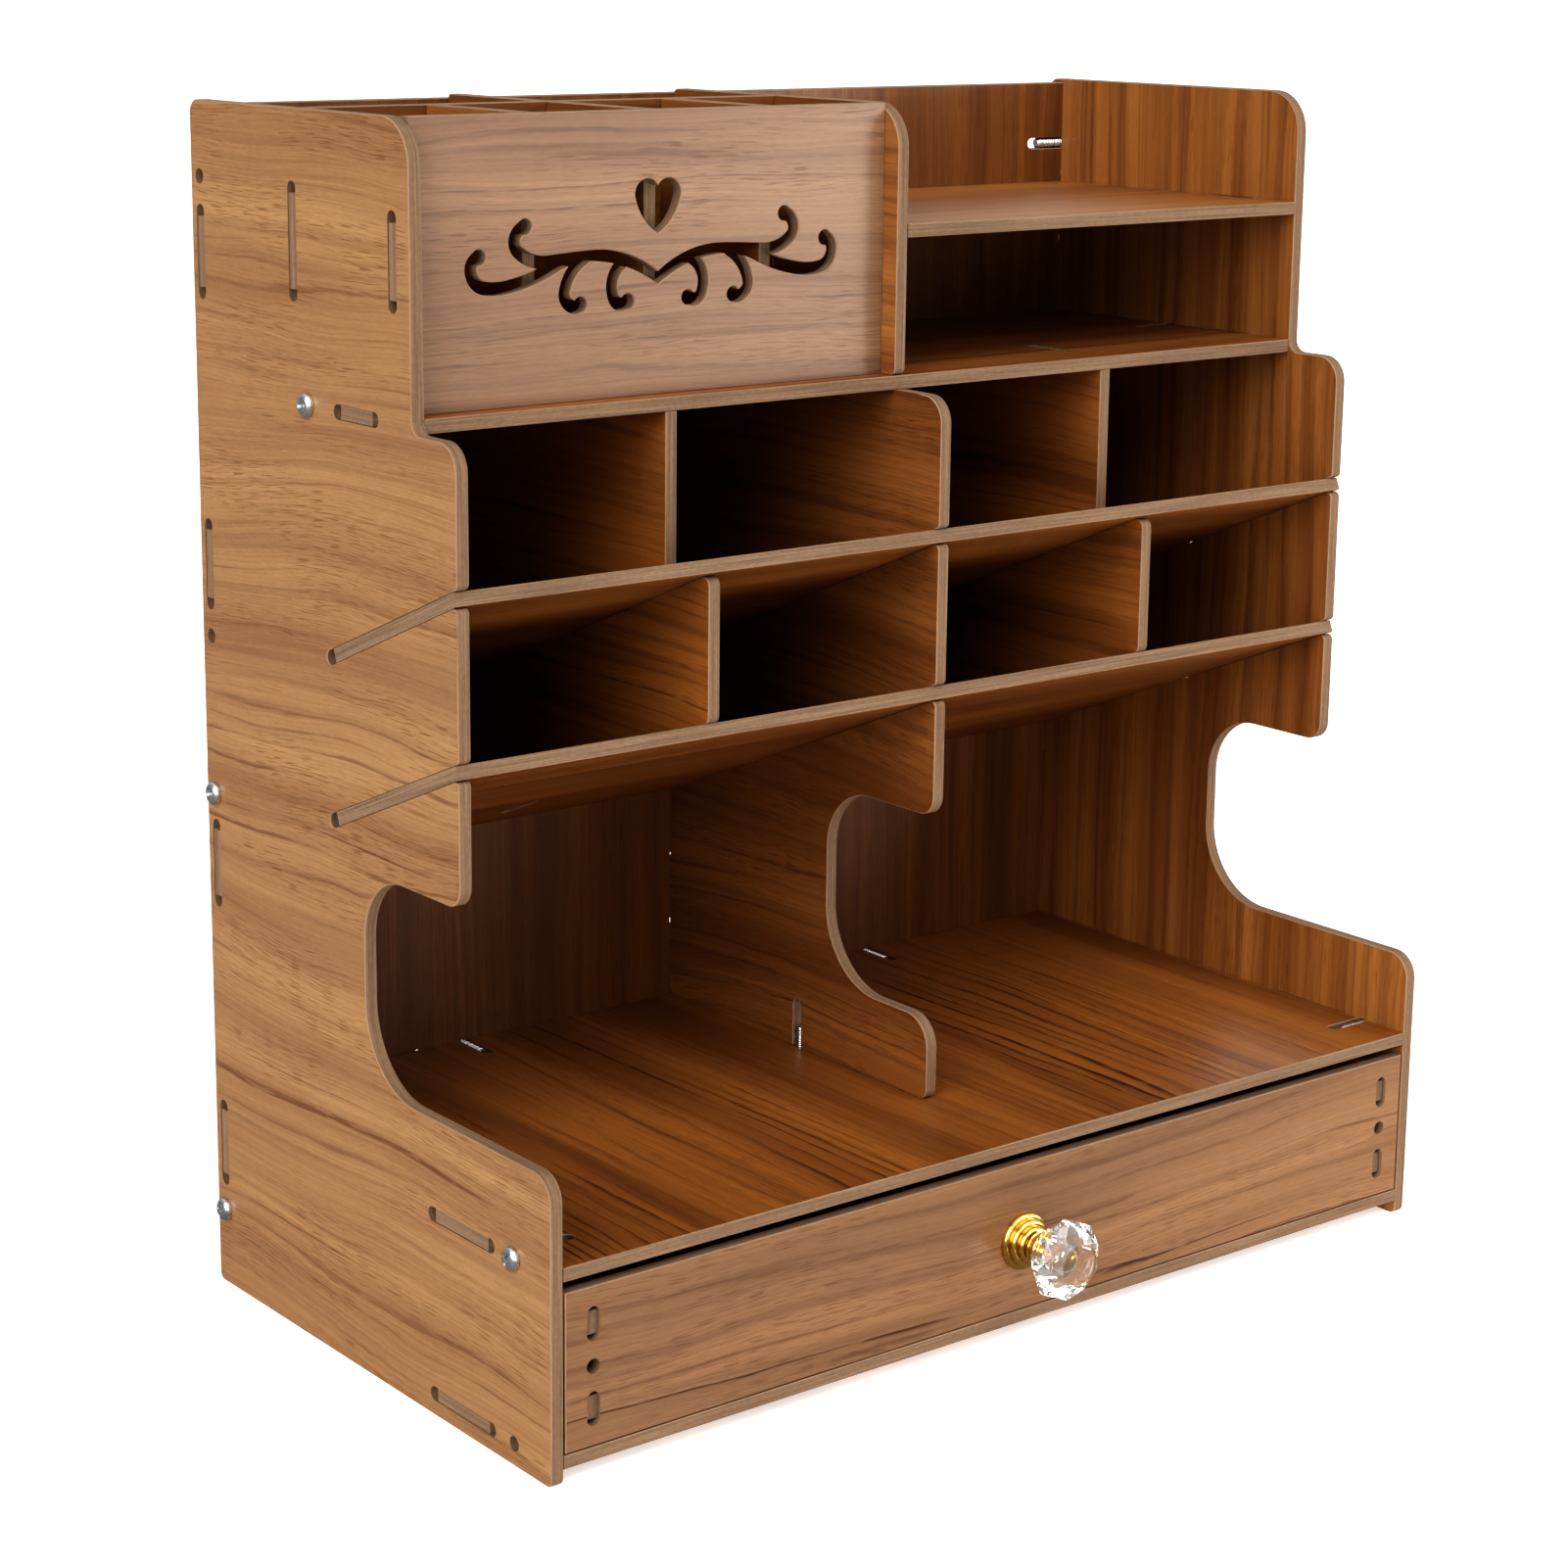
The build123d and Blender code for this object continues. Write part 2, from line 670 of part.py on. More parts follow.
drawer_bottom_half = drawer_side_face - board - seat_gap
with BuildPart() as drawer_bottom:
    with BuildSketch(lying(drawer_bottom_top)):
        panel(-drawer_bottom_half, drawer_bottom_half, drawer_box_back, drawer_box_front)
        for edge in (-drawer_bottom_half, drawer_bottom_half):
            tab([(edge, depth) for depth in drawer_bottom_tabs], middle_tab, 90)
    extrude(amount=board)
save(drawer_bottom, "drawer_bottom")

# Knob base: three turned rings, a neck and a cup with a spigot for the crystal
knob_y = back_y - lower_depth
knob_axis = Axis((0, knob_y, knob_level), (0, -1, 0))
knob_bore = screw_slot / 2
knob_bore_depth = knob_screw_grip + knob_bore_relief
ring_corners = []
for step, diameter in enumerate(knob_ring_diameters):
    ring_front = (step + 1) * knob_ring_thickness
    ring_corners.append((diameter / 2, step * knob_ring_thickness))
    ring_corners.append((diameter / 2, ring_front - knob_bevel))
    ring_corners.append((diameter / 2 - knob_bevel, ring_front))
rings_end = len(knob_ring_diameters) * knob_ring_thickness
cup_back = knob_cup_start - knob_cup_thickness
spigot_end = knob_cup_start + knob_spigot_length

with BuildPart() as knob_base:
    with BuildSketch(Plane(origin=(0, knob_y, knob_level), x_dir=(1, 0, 0), z_dir=(0, 0, -1))):
        with BuildLine():
            Polyline(
                (knob_bore, 0),
                *ring_corners,
                (knob_neck_diameter / 2, rings_end),
                (knob_neck_diameter / 2, cup_back),
                (knob_cup_diameter / 2 - knob_bevel, cup_back),
                (knob_cup_diameter / 2, cup_back + knob_bevel),
                (knob_cup_diameter / 2, knob_cup_start),
                (knob_spigot_diameter / 2, knob_cup_start),
                (knob_spigot_diameter / 2, spigot_end),
                (0, spigot_end),
                (0, knob_bore_depth),
                (knob_bore, knob_bore_depth),
                close=True,
            )
        make_face()
    revolve(axis=knob_axis)
save(knob_base, "knob_base")

# Knob crystal: eight facets behind and before its girdle, eight more cut across their corners,
# a cone up to the table and a dish in the table. Corner facets and cone meet the front facets
# at the points of the star
girdle_back = knob_cup_start + crystal_back_height
girdle_front = girdle_back + crystal_girdle_height
half_facet = 180 / crystal_facets
facet_share = cos(radians(half_facet))
front_run_share = crystal_front_height / crystal_star_height
main_flat = crystal_diameter * facet_share
main_front_flat = main_flat - front_run_share * (main_flat - crystal_star_diameter)
corner_front_flat = crystal_diameter - front_run_share * (
    crystal_diameter - crystal_star_diameter * facet_share
)
main_rings = (
    (knob_cup_start, crystal_back_diameter * facet_share),
    (girdle_back, main_flat),
    (girdle_front, main_flat),
    (knob_length, main_front_flat),
)
corner_rings = (
    (knob_cup_start, crystal_back_flat_diameter),
    (girdle_back, crystal_diameter),
    (girdle_front, crystal_diameter),
    (knob_length, corner_front_flat),
)
star_front = girdle_front + crystal_star_height
cone_slope = (crystal_star_diameter - crystal_table_diameter) / (knob_length - star_front)
cone_back_diameter = crystal_table_diameter + cone_slope * (knob_length - knob_cup_start)
dish_radius = (crystal_dish_diameter ** 2 / 4 + crystal_dish_depth ** 2) / (2 * crystal_dish_depth)


def knob_plane(forward):
    return Plane(origin=(0, knob_y - forward, knob_level), x_dir=(1, 0, 0), z_dir=(0, -1, 0))


def facet_rings(rings, turn):
    # Polygons to loft through, each given by its width across the flats
    sections = []
    for forward, flat in rings:
        with BuildSketch(knob_plane(forward)) as ring:
            RegularPolygon(flat / 2, crystal_facets, major_radius=False, rotation=turn)
        sections.append(ring.sketch.face())
    return sections


with BuildPart() as knob_crystal:
    loft(facet_rings(main_rings, 0), ruled=True)
    loft(facet_rings(corner_rings, half_facet), ruled=True, mode=Mode.INTERSECT)
    with BuildSketch(knob_plane(knob_cup_start)):
        Circle(cone_back_diameter / 2)
    with BuildSketch(knob_plane(knob_length)):
        Circle(crystal_table_diameter / 2)
    loft(ruled=True, mode=Mode.INTERSECT)
    with Locations(knob_plane(knob_length - crystal_dish_depth + dish_radius)):
        Sphere(dish_radius, mode=Mode.SUBTRACT)
    with BuildSketch(knob_plane(knob_cup_start)):
        Circle(knob_spigot_diameter / 2 + crystal_fit)
    extrude(amount=knob_spigot_length + crystal_fit, mode=Mode.SUBTRACT)
save(knob_crystal, "knob_crystal")


def make_screw(length):
    # Pan-head screw, its shank as thick as the thread's core, the underside of its head at
    # the origin and its head upwards
    head = screw_head_diameter / 2
    shank = screw_core_diameter / 2
    rim = screw_rim_share * screw_head_height
    with BuildPart() as screw:
        with BuildSketch(Plane.XZ):
            with BuildLine():
                Polyline(
                    (0, screw_head_height),
                    (screw_crown_share * head, screw_head_height),
                    (head, rim),
                    (head, 0),
                    (shank, 0),
                    (shank, -length),
                    (0, -length),
                    close=True,
                )
            make_face()
        revolve(axis=Axis.Z)
    return screw.part


with BuildPart() as knob_screw:
    with Locations(Plane(origin=(0, back_y - drawer_front_back, knob_level), z_dir=(0, 1, 0))):
        add(make_screw(board + knob_screw_grip))
save(knob_screw, "knob_screw")

# Carcass screws: places on each side, through the back into the floor, and up into the divider
side_screws = [
    (back_middle, back_screw_levels[0]),
    (back_middle, back_screw_levels[1]),
    (upper_screw_depth, deck_middle),
    (lower_screw_depth, floor_middle),
]
screw_planes = [
    Plane(origin=(side * half_width, back_y - depth, height), x_dir=(0, 1, 0), z_dir=(side, 0, 0))
    for side, places in ((-1, side_screws), (1, [*side_screws, (back_middle, back_screw_levels[3])]))
    for depth, height in places
]
for across in (-bay_centre, bay_centre):
    place = (across, back_y - back_inset, floor_middle)
    screw_planes.append(Plane(origin=place, x_dir=(1, 0, 0), z_dir=(0, 1, 0)))
divider_screw_place = (0, back_y - divider_screw_depth, floor_top - board)

carcass_screw = make_screw(screw_length)
divider_screw = make_screw(divider_screw_length)
with BuildPart() as carcass_screws:
    with Locations(*screw_planes):
        add(carcass_screw)
    with Locations(Plane(origin=divider_screw_place, x_dir=(1, 0, 0), z_dir=(0, 0, -1))):
        add(divider_screw)
save(carcass_screws, "carcass_screws")
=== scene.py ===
import json
import math

import bmesh
import bpy
from mathutils import Matrix, Vector
from mathutils.bvhtree import BVHTree


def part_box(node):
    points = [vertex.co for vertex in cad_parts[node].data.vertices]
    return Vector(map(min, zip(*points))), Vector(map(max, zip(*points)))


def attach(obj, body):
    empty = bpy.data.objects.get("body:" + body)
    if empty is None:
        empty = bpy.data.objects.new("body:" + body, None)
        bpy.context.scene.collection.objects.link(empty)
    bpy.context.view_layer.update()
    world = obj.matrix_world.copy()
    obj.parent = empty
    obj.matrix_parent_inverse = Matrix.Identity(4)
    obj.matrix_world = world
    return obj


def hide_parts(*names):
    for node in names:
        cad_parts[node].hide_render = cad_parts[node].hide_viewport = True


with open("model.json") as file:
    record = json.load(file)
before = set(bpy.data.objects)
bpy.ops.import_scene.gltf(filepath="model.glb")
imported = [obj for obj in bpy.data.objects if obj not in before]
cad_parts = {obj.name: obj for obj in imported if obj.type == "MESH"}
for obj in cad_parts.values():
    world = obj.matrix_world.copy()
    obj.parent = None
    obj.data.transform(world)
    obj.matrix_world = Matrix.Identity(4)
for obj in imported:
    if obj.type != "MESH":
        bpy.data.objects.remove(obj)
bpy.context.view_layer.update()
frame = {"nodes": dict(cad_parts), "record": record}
mm = 0.001
print("frame loaded:", len(frame["nodes"]), "nodes")


def linearColour(hexText):
    # sRGB hex to the linear colour that shaders and lights take
    channels = [int(hexText[i:i + 2], 16) / 255 for i in (1, 3, 5)]
    linear = [c / 12.92 if c <= 0.04045 else ((c + 0.055) / 1.055) ** 2.4 for c in channels]
    return (*linear, 1.0)


def addNode(tree, kind, settings=None, links=None):
    # settings name a property or an input, links join an input to an earlier output
    node = tree.nodes.new(kind)
    for key, value in (settings or {}).items():
        if key == "stops":
            ramp = node.color_ramp.elements
            while len(ramp) < len(value):
                ramp.new(1.0)
            for stop, (place, colour) in zip(ramp, value):
                stop.position = place
                stop.color = colour
        elif isinstance(key, int) or key in node.inputs:
            node.inputs[key].default_value = value
        else:
            setattr(node, key, value)
    for key, source in (links or {}).items():
        tree.links.new(source, node.inputs[key])
    return node


def newMaterial(name):
    material = bpy.data.materials.new(name)
    material.use_nodes = True
    tree = material.node_tree
    tree.nodes.clear()
    shader = addNode(tree, "ShaderNodeBsdfPrincipled")
    addNode(tree, "ShaderNodeOutputMaterial", links={"Surface": shader.outputs["BSDF"]})
    return material, tree, shader


def addPiece(name, mesh, body, slotName, *nodes):
    piece = bpy.data.objects.new(name, mesh)
    bpy.context.scene.collection.objects.link(piece)
    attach(piece, body)
    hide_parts(*nodes)
    return piece


def pieceName(node):
    first, *rest = node.split("_")
    return first + "".join(word.capitalize() for word in rest)


def mergedCopy(node):
    # a CAD node's loose triangles, joined up in a copy
    mesh = bmesh.new()
    mesh.from_mesh(frame["nodes"][node].data)
    bmesh.ops.remove_doubles(mesh, verts=mesh.verts, dist=0.002 * mm)
    return mesh


bodyOf = {node: body for body, nodes in frame["record"]["behaviour"]["bodies"].items() for node in nodes}

# Teak print. Runs: how far each figure reaches, in mm along the grain, across it and through the board,
# and its detail. Ranges: where in its noise a figure starts and is full. Widths in mm. The pores are drawn
# about twice as broad as real ones, so that they show at this distance
teakPrint = {
    "grainRuns": {
        "sway": ((230.0, 85.0, 60.0), 1.5),
        "ripple": ((46.0, 11.0, 40.0), 2.0),
        "poreField": ((60.0, 14.0, 30.0), 1.0),
        "fleck": ((3.2, 0.7, 30.0), 2.0),
    },
    "growthRuns": {
        "spacing": ((420.0, 17.0, 1.0), 2.0),
        "smoke": ((190.0, 3.4, 1.0), 3.0),
        "fade": ((90.0, 6.0, 1.0), 2.0),
        "breaks": ((14.0, 1.3, 1.0), 1.0),
        "fibre": ((110.0, 0.8, 1.0), 2.0),
        "pore": ((9.0, 0.42, 1.0), 0.0),
    },
    "bandLength": 480.0,
    "bandDetail": 2.0,
    "ripple": 3.2,
    "archAt": 100.0,
    "unevenLines": 4.0,
    "lineWidth": (0.35, 1.35),
    "lineStart": 0.3,
    "shadeWidth": 3.6,
    "shade": 0.22,
    "breakRange": (0.34, 0.5),
    "broken": 0.35,
    "luckRange": (0.0, 0.8),
    "weakLine": 0.35,
    "fadeRange": (0.38, 0.56),
    "faded": 0.1,
    "smokeRange": (0.46, 0.72),
    "bandRange": (0.36, 0.66),
    "fibreRange": (0.28, 0.72),
    "fibreTones": (1.1, 0.88),
    "fleckRange": (0.25, 0.75),
    "fleckTones": (0.94, 1.06),
    "poreRange": (0.58, 0.68),
    "crowdRange": (0.4, 0.62),
    "sparse": 0.1,
    "roughness": 0.38,
    "poreRoughness": 0.16,
    "bump": 0.3,
    "bumpHeight": 0.1 * mm,
}

# Each tone: pale ground, deep ground, streak and pore
teakTones = {
    "golden": ("#A37E56", "#8F6A47", "#5A2C12", "#6E4422"),
    "tan": ("#95755A", "#83634D", "#4A2F26", "#62432F"),
    "umber": ("#9D7653", "#876446", "#4A2611", "#633F24"),
    "amber": ("#A06933", "#7A4B24", "#42200E", "#4E2C15"),
    # This tone is amber darkened to paint the shade that falls inside the cabinet on the back panel and middle
    # divider: painted shade
    "shadedAmber": ("#8E5E32", "#714622", "#42200E", "#4A2812"),
    "russet": ("#A06E3A", "#7E4F28", "#4A2411", "#50301A"),
}

# Each board: which way its print runs, where along the print it was cut, its tone, how far the lines
# arch and sway, how far apart and how broad they are, how wide the slow bands are, how strong lines, smoke
# and pores show, and how strong the lines are from one side of the board to the other
plainBoard = {
    "tone": "amber", "arch": 0.0, "sway": 18.0, "spacing": 6.0, "broad": 1.0, "band": 24.0,
    "lines": 0.8, "smoke": 0.4, "pores": 0.35,
    "bundles": ((0.0, 0.6), (0.2, 1.0), (0.42, 0.3), (0.6, 0.9), (0.8, 0.4), (1.0, 0.8)),
}
boards = {
    "left_side_panel": {
        "grain": "y", "start": 0, "tone": "golden", "arch": 3.0, "sway": 38.0, "spacing": 6.0,
        "lines": 0.85, "smoke": 0.22, "pores": 0.55,
        "bundles": ((0.0, 0.3), (0.075, 0.7), (0.14, 0.15), (0.21, 0.8), (0.26, 0.2), (0.3, 0.6),
                    (0.38, 0.1), (0.44, 1.0), (0.49, 0.9), (0.55, 0.1), (0.62, 0.7), (0.66, 0.1),
                    (0.7, 0.4), (0.78, 0.1), (0.86, 0.7), (0.93, 0.3), (1.0, 0.4)),
    },
    "right_side_panel": {
        "grain": "z", "start": 700, "tone": "russet", "sway": 14.0, "spacing": 9.0, "broad": 2.4,
        "band": 11.0, "lines": 0.5, "smoke": 0.4,
    },
    # the middle divider takes the darkened amber tone: painted shade
    "middle_divider": {
        "grain": "y", "start": 1400, "tone": "shadedAmber", "arch": 6.0, "sway": 30.0, "lines": 0.8, "pores": 0.5,
    },
    "upper_divider": {"grain": "y", "start": 2100, "tone": "russet"},
    # the back panel takes the darkened amber tone: painted shade
    "back_panel": {
        "grain": "z", "start": 2800, "tone": "shadedAmber", "sway": 14.0, "spacing": 8.0, "broad": 2.2,
        "band": 11.0, "lines": 0.35, "smoke": 0.3,
    },
    "pen_box_front": {
        "grain": "x", "start": 3500, "tone": "tan", "sway": 26.0, "spacing": 8.0,
        "lines": 0.65, "smoke": 0.35, "pores": 0.45,
        "bundles": ((0.0, 0.5), (0.3, 0.9), (0.5, 0.6), (0.75, 0.9), (1.0, 0.6)),
    },
    "drawer_front": {
        "grain": "x", "start": 4200, "tone": "umber", "sway": 34.0, "spacing": 9.0,
        "lines": 1.1, "smoke": 0.25, "pores": 0.5,
        "bundles": ((0.0, 0.4), (0.3, 0.7), (0.55, 0.4), (0.8, 1.0), (1.0, 0.7)),
    },
    "bay_floor": {
        "grain": "y", "start": 4900, "sway": 26.0, "spacing": 5.0, "broad": 1.25,
        "lines": 1.2, "smoke": 0.35,
        "bundles": ((0.0, 0.3), (0.12, 0.4), (0.25, 0.9), (0.38, 1.0), (0.48, 0.15), (0.56, 0.2),
                    (0.68, 0.9), (0.78, 0.25), (0.88, 1.0), (1.0, 0.9)),
    },
    "bottom_board": {"grain": "y", "start": 5600},
    "deck": {"grain": "x", "start": 6300},
    "side_shelf": {"grain": "x", "start": 7000, "tone": "russet"},
    "upper_slanted_shelf": {"grain": "x", "start": 7700},
    "lower_slanted_shelf": {"grain": "x", "start": 8400},
    "upper_left_cubby_divider": {"grain": "y", "start": 9100, "arch": 5.0, "sway": 26.0},
    "upper_right_cubby_divider": {"grain": "y", "start": 9800, "arch": 5.0, "sway": 26.0},
    "lower_left_cubby_divider": {"grain": "y", "start": 10500, "arch": 5.0, "sway": 26.0},
    "lower_right_cubby_divider": {"grain": "y", "start": 11200, "arch": 5.0, "sway": 26.0},
    "pen_box_long_partition": {"grain": "x", "start": 11900, "tone": "russet"},
    "pen_box_centre_partition": {"grain": "y", "start": 12600, "tone": "russet"},
    "pen_box_left_partition": {"grain": "y", "start": 13300, "tone": "russet"},
    "pen_box_right_partition": {"grain": "y", "start": 14000, "tone": "russet"},
    "drawer_left_side": {"grain": "y", "start": 14700},
    "drawer_right_side": {"grain": "y", "start": 15400},
    "drawer_back": {"grain": "x", "start": 16100},
    "drawer_bottom": {"grain": "x", "start": 16800},
}

grainAxes = {"x": Vector((1, 0, 0)), "y": Vector((0, 1, 0)), "z": Vector((0, 0, 1))}


def grainTurn(along, through):
    # turns the row frame so that x runs along the grain and z through the board
    across = through.cross(along)
    return Matrix((along, across, through))


def teakFoil(node, board, through):
    # Teak-print foil on fibreboard, hot pressed and lacquered satin: a warm ground in slow bands, dark lines
    # in bundles that start sharp and fade, smoky streaks, fine fibres, short pores and a low sheen
    material, tree, shader = newMaterial("teakFoil." + pieceName(node))
    t = teakPrint
    pale, deep, streak, pore = [linearColour(colour) for colour in teakTones[board["tone"]]]
    turn = grainTurn(grainAxes[board["grain"]], through)
    corners = [turn @ Vector(corner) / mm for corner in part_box(node)]
    middle = (corners[0].x + corners[1].x) / 2
    near, far = sorted(corner.y for corner in corners)
    place = addNode(tree, "ShaderNodeTexCoord")
    grain = addNode(tree, "ShaderNodeMapping", {
        "Scale": (1 / mm, 1 / mm, 1 / mm), "Rotation": turn.to_euler(),
        "Location": (board["start"] - middle, 0, 0)}, {"Vector": place.outputs["Object"]}).outputs[0]
    ways = addNode(tree, "ShaderNodeSeparateXYZ", links={0: grain}).outputs
    figure = {}
    for name, (run, detail) in t["grainRuns"].items():
        scaled = addNode(tree, "ShaderNodeVectorMath", {
            "operation": "MULTIPLY", 1: [1 / length for length in run]}, {0: grain}).outputs[0]
        figure[name] = addNode(tree, "ShaderNodeTexNoise", {"Scale": 1.0, "Detail": detail},
                               {"Vector": scaled}).outputs[0]

    # how far across the log a point lies: swaying, rippled and arched
    swayed = addNode(tree, "ShaderNodeMath", {"operation": "MULTIPLY_ADD", 1: board["sway"]},
                     {0: figure["sway"], 2: ways["Y"]}).outputs[0]
    rippled = addNode(tree, "ShaderNodeMath", {"operation": "MULTIPLY_ADD", 1: t["ripple"]},
                      {0: figure["ripple"], 2: swayed}).outputs[0]
    fromMiddle = addNode(tree, "ShaderNodeMath", {"operation": "SUBTRACT", 1: board["start"]},
                         {0: ways["X"]}).outputs[0]
    squared = addNode(tree, "ShaderNodeMath", {"operation": "MULTIPLY"}, {0: fromMiddle, 1: fromMiddle}).outputs[0]
    arched = addNode(tree, "ShaderNodeMath", {"operation": "MULTIPLY_ADD", 1: board["arch"] / t["archAt"] ** 2},
                     {0: squared, 2: rippled}).outputs[0]
    growth = addNode(tree, "ShaderNodeCombineXYZ", links={"X": ways["X"], "Y": arched}).outputs[0]
    band = (t["bandLength"], board["band"], 1.0), t["bandDetail"]
    for name, (run, detail) in {**t["growthRuns"], "band": band}.items():
        scaled = addNode(tree, "ShaderNodeVectorMath", {
            "operation": "MULTIPLY", 1: [1 / length for length in run]}, {0: growth}).outputs[0]
        figure[name] = addNode(tree, "ShaderNodeTexNoise", {"Scale": 1.0, "Detail": detail},
                               {"Vector": scaled}).outputs[0]

    # one line after the other, unevenly spaced, each with its own strength, in bundles
    spaced = addNode(tree, "ShaderNodeMath", {"operation": "DIVIDE", 1: board["spacing"]}, {0: arched}).outputs[0]
    uneven = addNode(tree, "ShaderNodeMath", {"operation": "MULTIPLY_ADD", 1: t["unevenLines"]},
                     {0: figure["spacing"], 2: spaced}).outputs[0]
    phase = addNode(tree, "ShaderNodeMath", {"operation": "FRACT"}, {0: uneven}).outputs[0]
    lineSeed = addNode(tree, "ShaderNodeMath", {"operation": "FLOOR"}, {0: uneven}).outputs[0]
    luck = addNode(tree, "ShaderNodeTexWhiteNoise", {"noise_dimensions": "1D"}, {"W": lineSeed}).outputs[0]
    wide = board["broad"] / board["spacing"]
    fall = addNode(tree, "ShaderNodeMapRange", {
        "interpolation_type": "SMOOTHSTEP", 1: t["lineWidth"][0] * wide, 2: t["lineWidth"][1] * wide,
        3: 1.0, 4: 0.0}, {0: phase}).outputs[0]
    rise = addNode(tree, "ShaderNodeMapRange", {
        "interpolation_type": "SMOOTHSTEP", 1: 1 - t["lineStart"] * wide, 2: 1.0,
        3: 0.0, 4: 1.0}, {0: phase}).outputs[0]
    whole = addNode(tree, "ShaderNodeMath", {"operation": "MAXIMUM"}, {0: fall, 1: rise}).outputs[0]
    kept = addNode(tree, "ShaderNodeMapRange", {
        "interpolation_type": "SMOOTHSTEP", 1: t["breakRange"][0], 2: t["breakRange"][1],
        3: t["broken"], 4: 1.0}, {0: figure["breaks"]}).outputs[0]
    thin = addNode(tree, "ShaderNodeMath", {"operation": "MULTIPLY"}, {0: whole, 1: kept}).outputs[0]
    shade = addNode(tree, "ShaderNodeMapRange", {
        "interpolation_type": "SMOOTHSTEP", 1: 0.0, 2: min(1.0, t["shadeWidth"] * wide),
        3: t["shade"], 4: 0.0}, {0: phase}).outputs[0]
    line = addNode(tree, "ShaderNodeMath", {"operation": "MAXIMUM"}, {0: thin, 1: shade}).outputs[0]
    own = addNode(tree, "ShaderNodeMapRange", {
        1: t["luckRange"][0], 2: t["luckRange"][1], 3: board["lines"] * t["weakLine"], 4: board["lines"]},
        {0: luck}).outputs[0]
    fade = addNode(tree, "ShaderNodeMapRange", {
        "interpolation_type": "SMOOTHSTEP", 1: t["fadeRange"][0], 2: t["fadeRange"][1],
        3: t["faded"], 4: 1.0}, {0: figure["fade"]}).outputs[0]
    side = addNode(tree, "ShaderNodeMapRange", {
        1: near + board["sway"] / 2, 2: far + board["sway"] / 2}, {0: arched}).outputs[0]
    bundle = addNode(tree, "ShaderNodeValToRGB", {
        "stops": [(share, (power, power, power, 1.0)) for share, power in board["bundles"]]},
        {0: side}).outputs[0]
    strength = addNode(tree, "ShaderNodeMath", {"operation": "MULTIPLY"}, {0: own, 1: fade}).outputs[0]
    bundled = addNode(tree, "ShaderNodeMath", {"operation": "MULTIPLY"}, {0: strength, 1: bundle}).outputs[0]
    lines = addNode(tree, "ShaderNodeMath", {"operation": "MULTIPLY"}, {0: line, 1: bundled}).outputs[0]

    # ground, then smoke, lines, fibres and pores over it
    smoke = addNode(tree, "ShaderNodeMapRange", {
        "interpolation_type": "SMOOTHSTEP", 1: t["smokeRange"][0], 2: t["smokeRange"][1],
        3: 0.0, 4: board["smoke"]}, {0: figure["smoke"]}).outputs[0]
    ground = addNode(tree, "ShaderNodeValToRGB", {
        "stops": list(zip(t["bandRange"], (pale, deep)))}, {0: figure["band"]}).outputs[0]
    smoky = addNode(tree, "ShaderNodeMix", {"data_type": "RGBA", 7: streak}, {0: smoke, 6: ground}).outputs[2]
    lined = addNode(tree, "ShaderNodeMix", {"data_type": "RGBA", 7: streak}, {0: lines, 6: smoky}).outputs[2]
    fibre = addNode(tree, "ShaderNodeMapRange", {
        1: t["fibreRange"][0], 2: t["fibreRange"][1], 3: t["fibreTones"][0], 4: t["fibreTones"][1]},
        {0: figure["fibre"]}).outputs[0]
    fleck = addNode(tree, "ShaderNodeMapRange", {
        1: t["fleckRange"][0], 2: t["fleckRange"][1], 3: t["fleckTones"][0], 4: t["fleckTones"][1]},
        {0: figure["fleck"]}).outputs[0]
    fine = addNode(tree, "ShaderNodeMath", {"operation": "MULTIPLY"}, {0: fibre, 1: fleck}).outputs[0]
    fibred = addNode(tree, "ShaderNodeVectorMath", {"operation": "SCALE"}, {0: lined, "Scale": fine}).outputs[0]
    dash = addNode(tree, "ShaderNodeMapRange", {
        "interpolation_type": "SMOOTHSTEP", 1: t["poreRange"][0], 2: t["poreRange"][1],
        3: 0.0, 4: board["pores"]}, {0: figure["pore"]}).outputs[0]
    crowd = addNode(tree, "ShaderNodeMapRange", {
        "interpolation_type": "SMOOTHSTEP", 1: t["crowdRange"][0], 2: t["crowdRange"][1],
        3: t["sparse"], 4: 1.0}, {0: figure["poreField"]}).outputs[0]
    pores = addNode(tree, "ShaderNodeMath", {"operation": "MULTIPLY"}, {0: dash, 1: crowd}).outputs[0]
    printed = addNode(tree, "ShaderNodeMix", {"data_type": "RGBA", 7: pore}, {0: pores, 6: fibred}).outputs[2]
    height = addNode(tree, "ShaderNodeMath", {"operation": "SUBTRACT"}, {0: fine, 1: pores}).outputs[0]
    bump = addNode(tree, "ShaderNodeBump", {"Strength": t["bump"], "Distance": t["bumpHeight"]},
                   {"Height": height}).outputs[0]
    rough = addNode(tree, "ShaderNodeMath", {
        "operation": "MULTIPLY_ADD", 1: t["poreRoughness"], 2: t["roughness"]}, {0: pores}).outputs[0]
    tree.links.new(printed, shader.inputs["Base Color"])
    tree.links.new(rough, shader.inputs["Roughness"])
    tree.links.new(bump, shader.inputs["Normal"])
    return material


# Cut edge of the board: layers of pressed fibre, in mm
coreLook = {
    "layerRun": (40.0, 40.0, 0.55),
    "fibreRun": (1.6, 1.6, 0.4),
    "pale": "#92785F",
    "mid": "#7D644D",
    "dark": "#67503E",
    # paler tone for the arris: painted highlight
    "arris": "#977B63",
    "toneStops": (0.4, 0.7, 1.0),
    "fibreShare": 0.4,
    "roughness": 0.82,
    "bump": 0.25,
    "bumpHeight": 0.1 * mm,
}


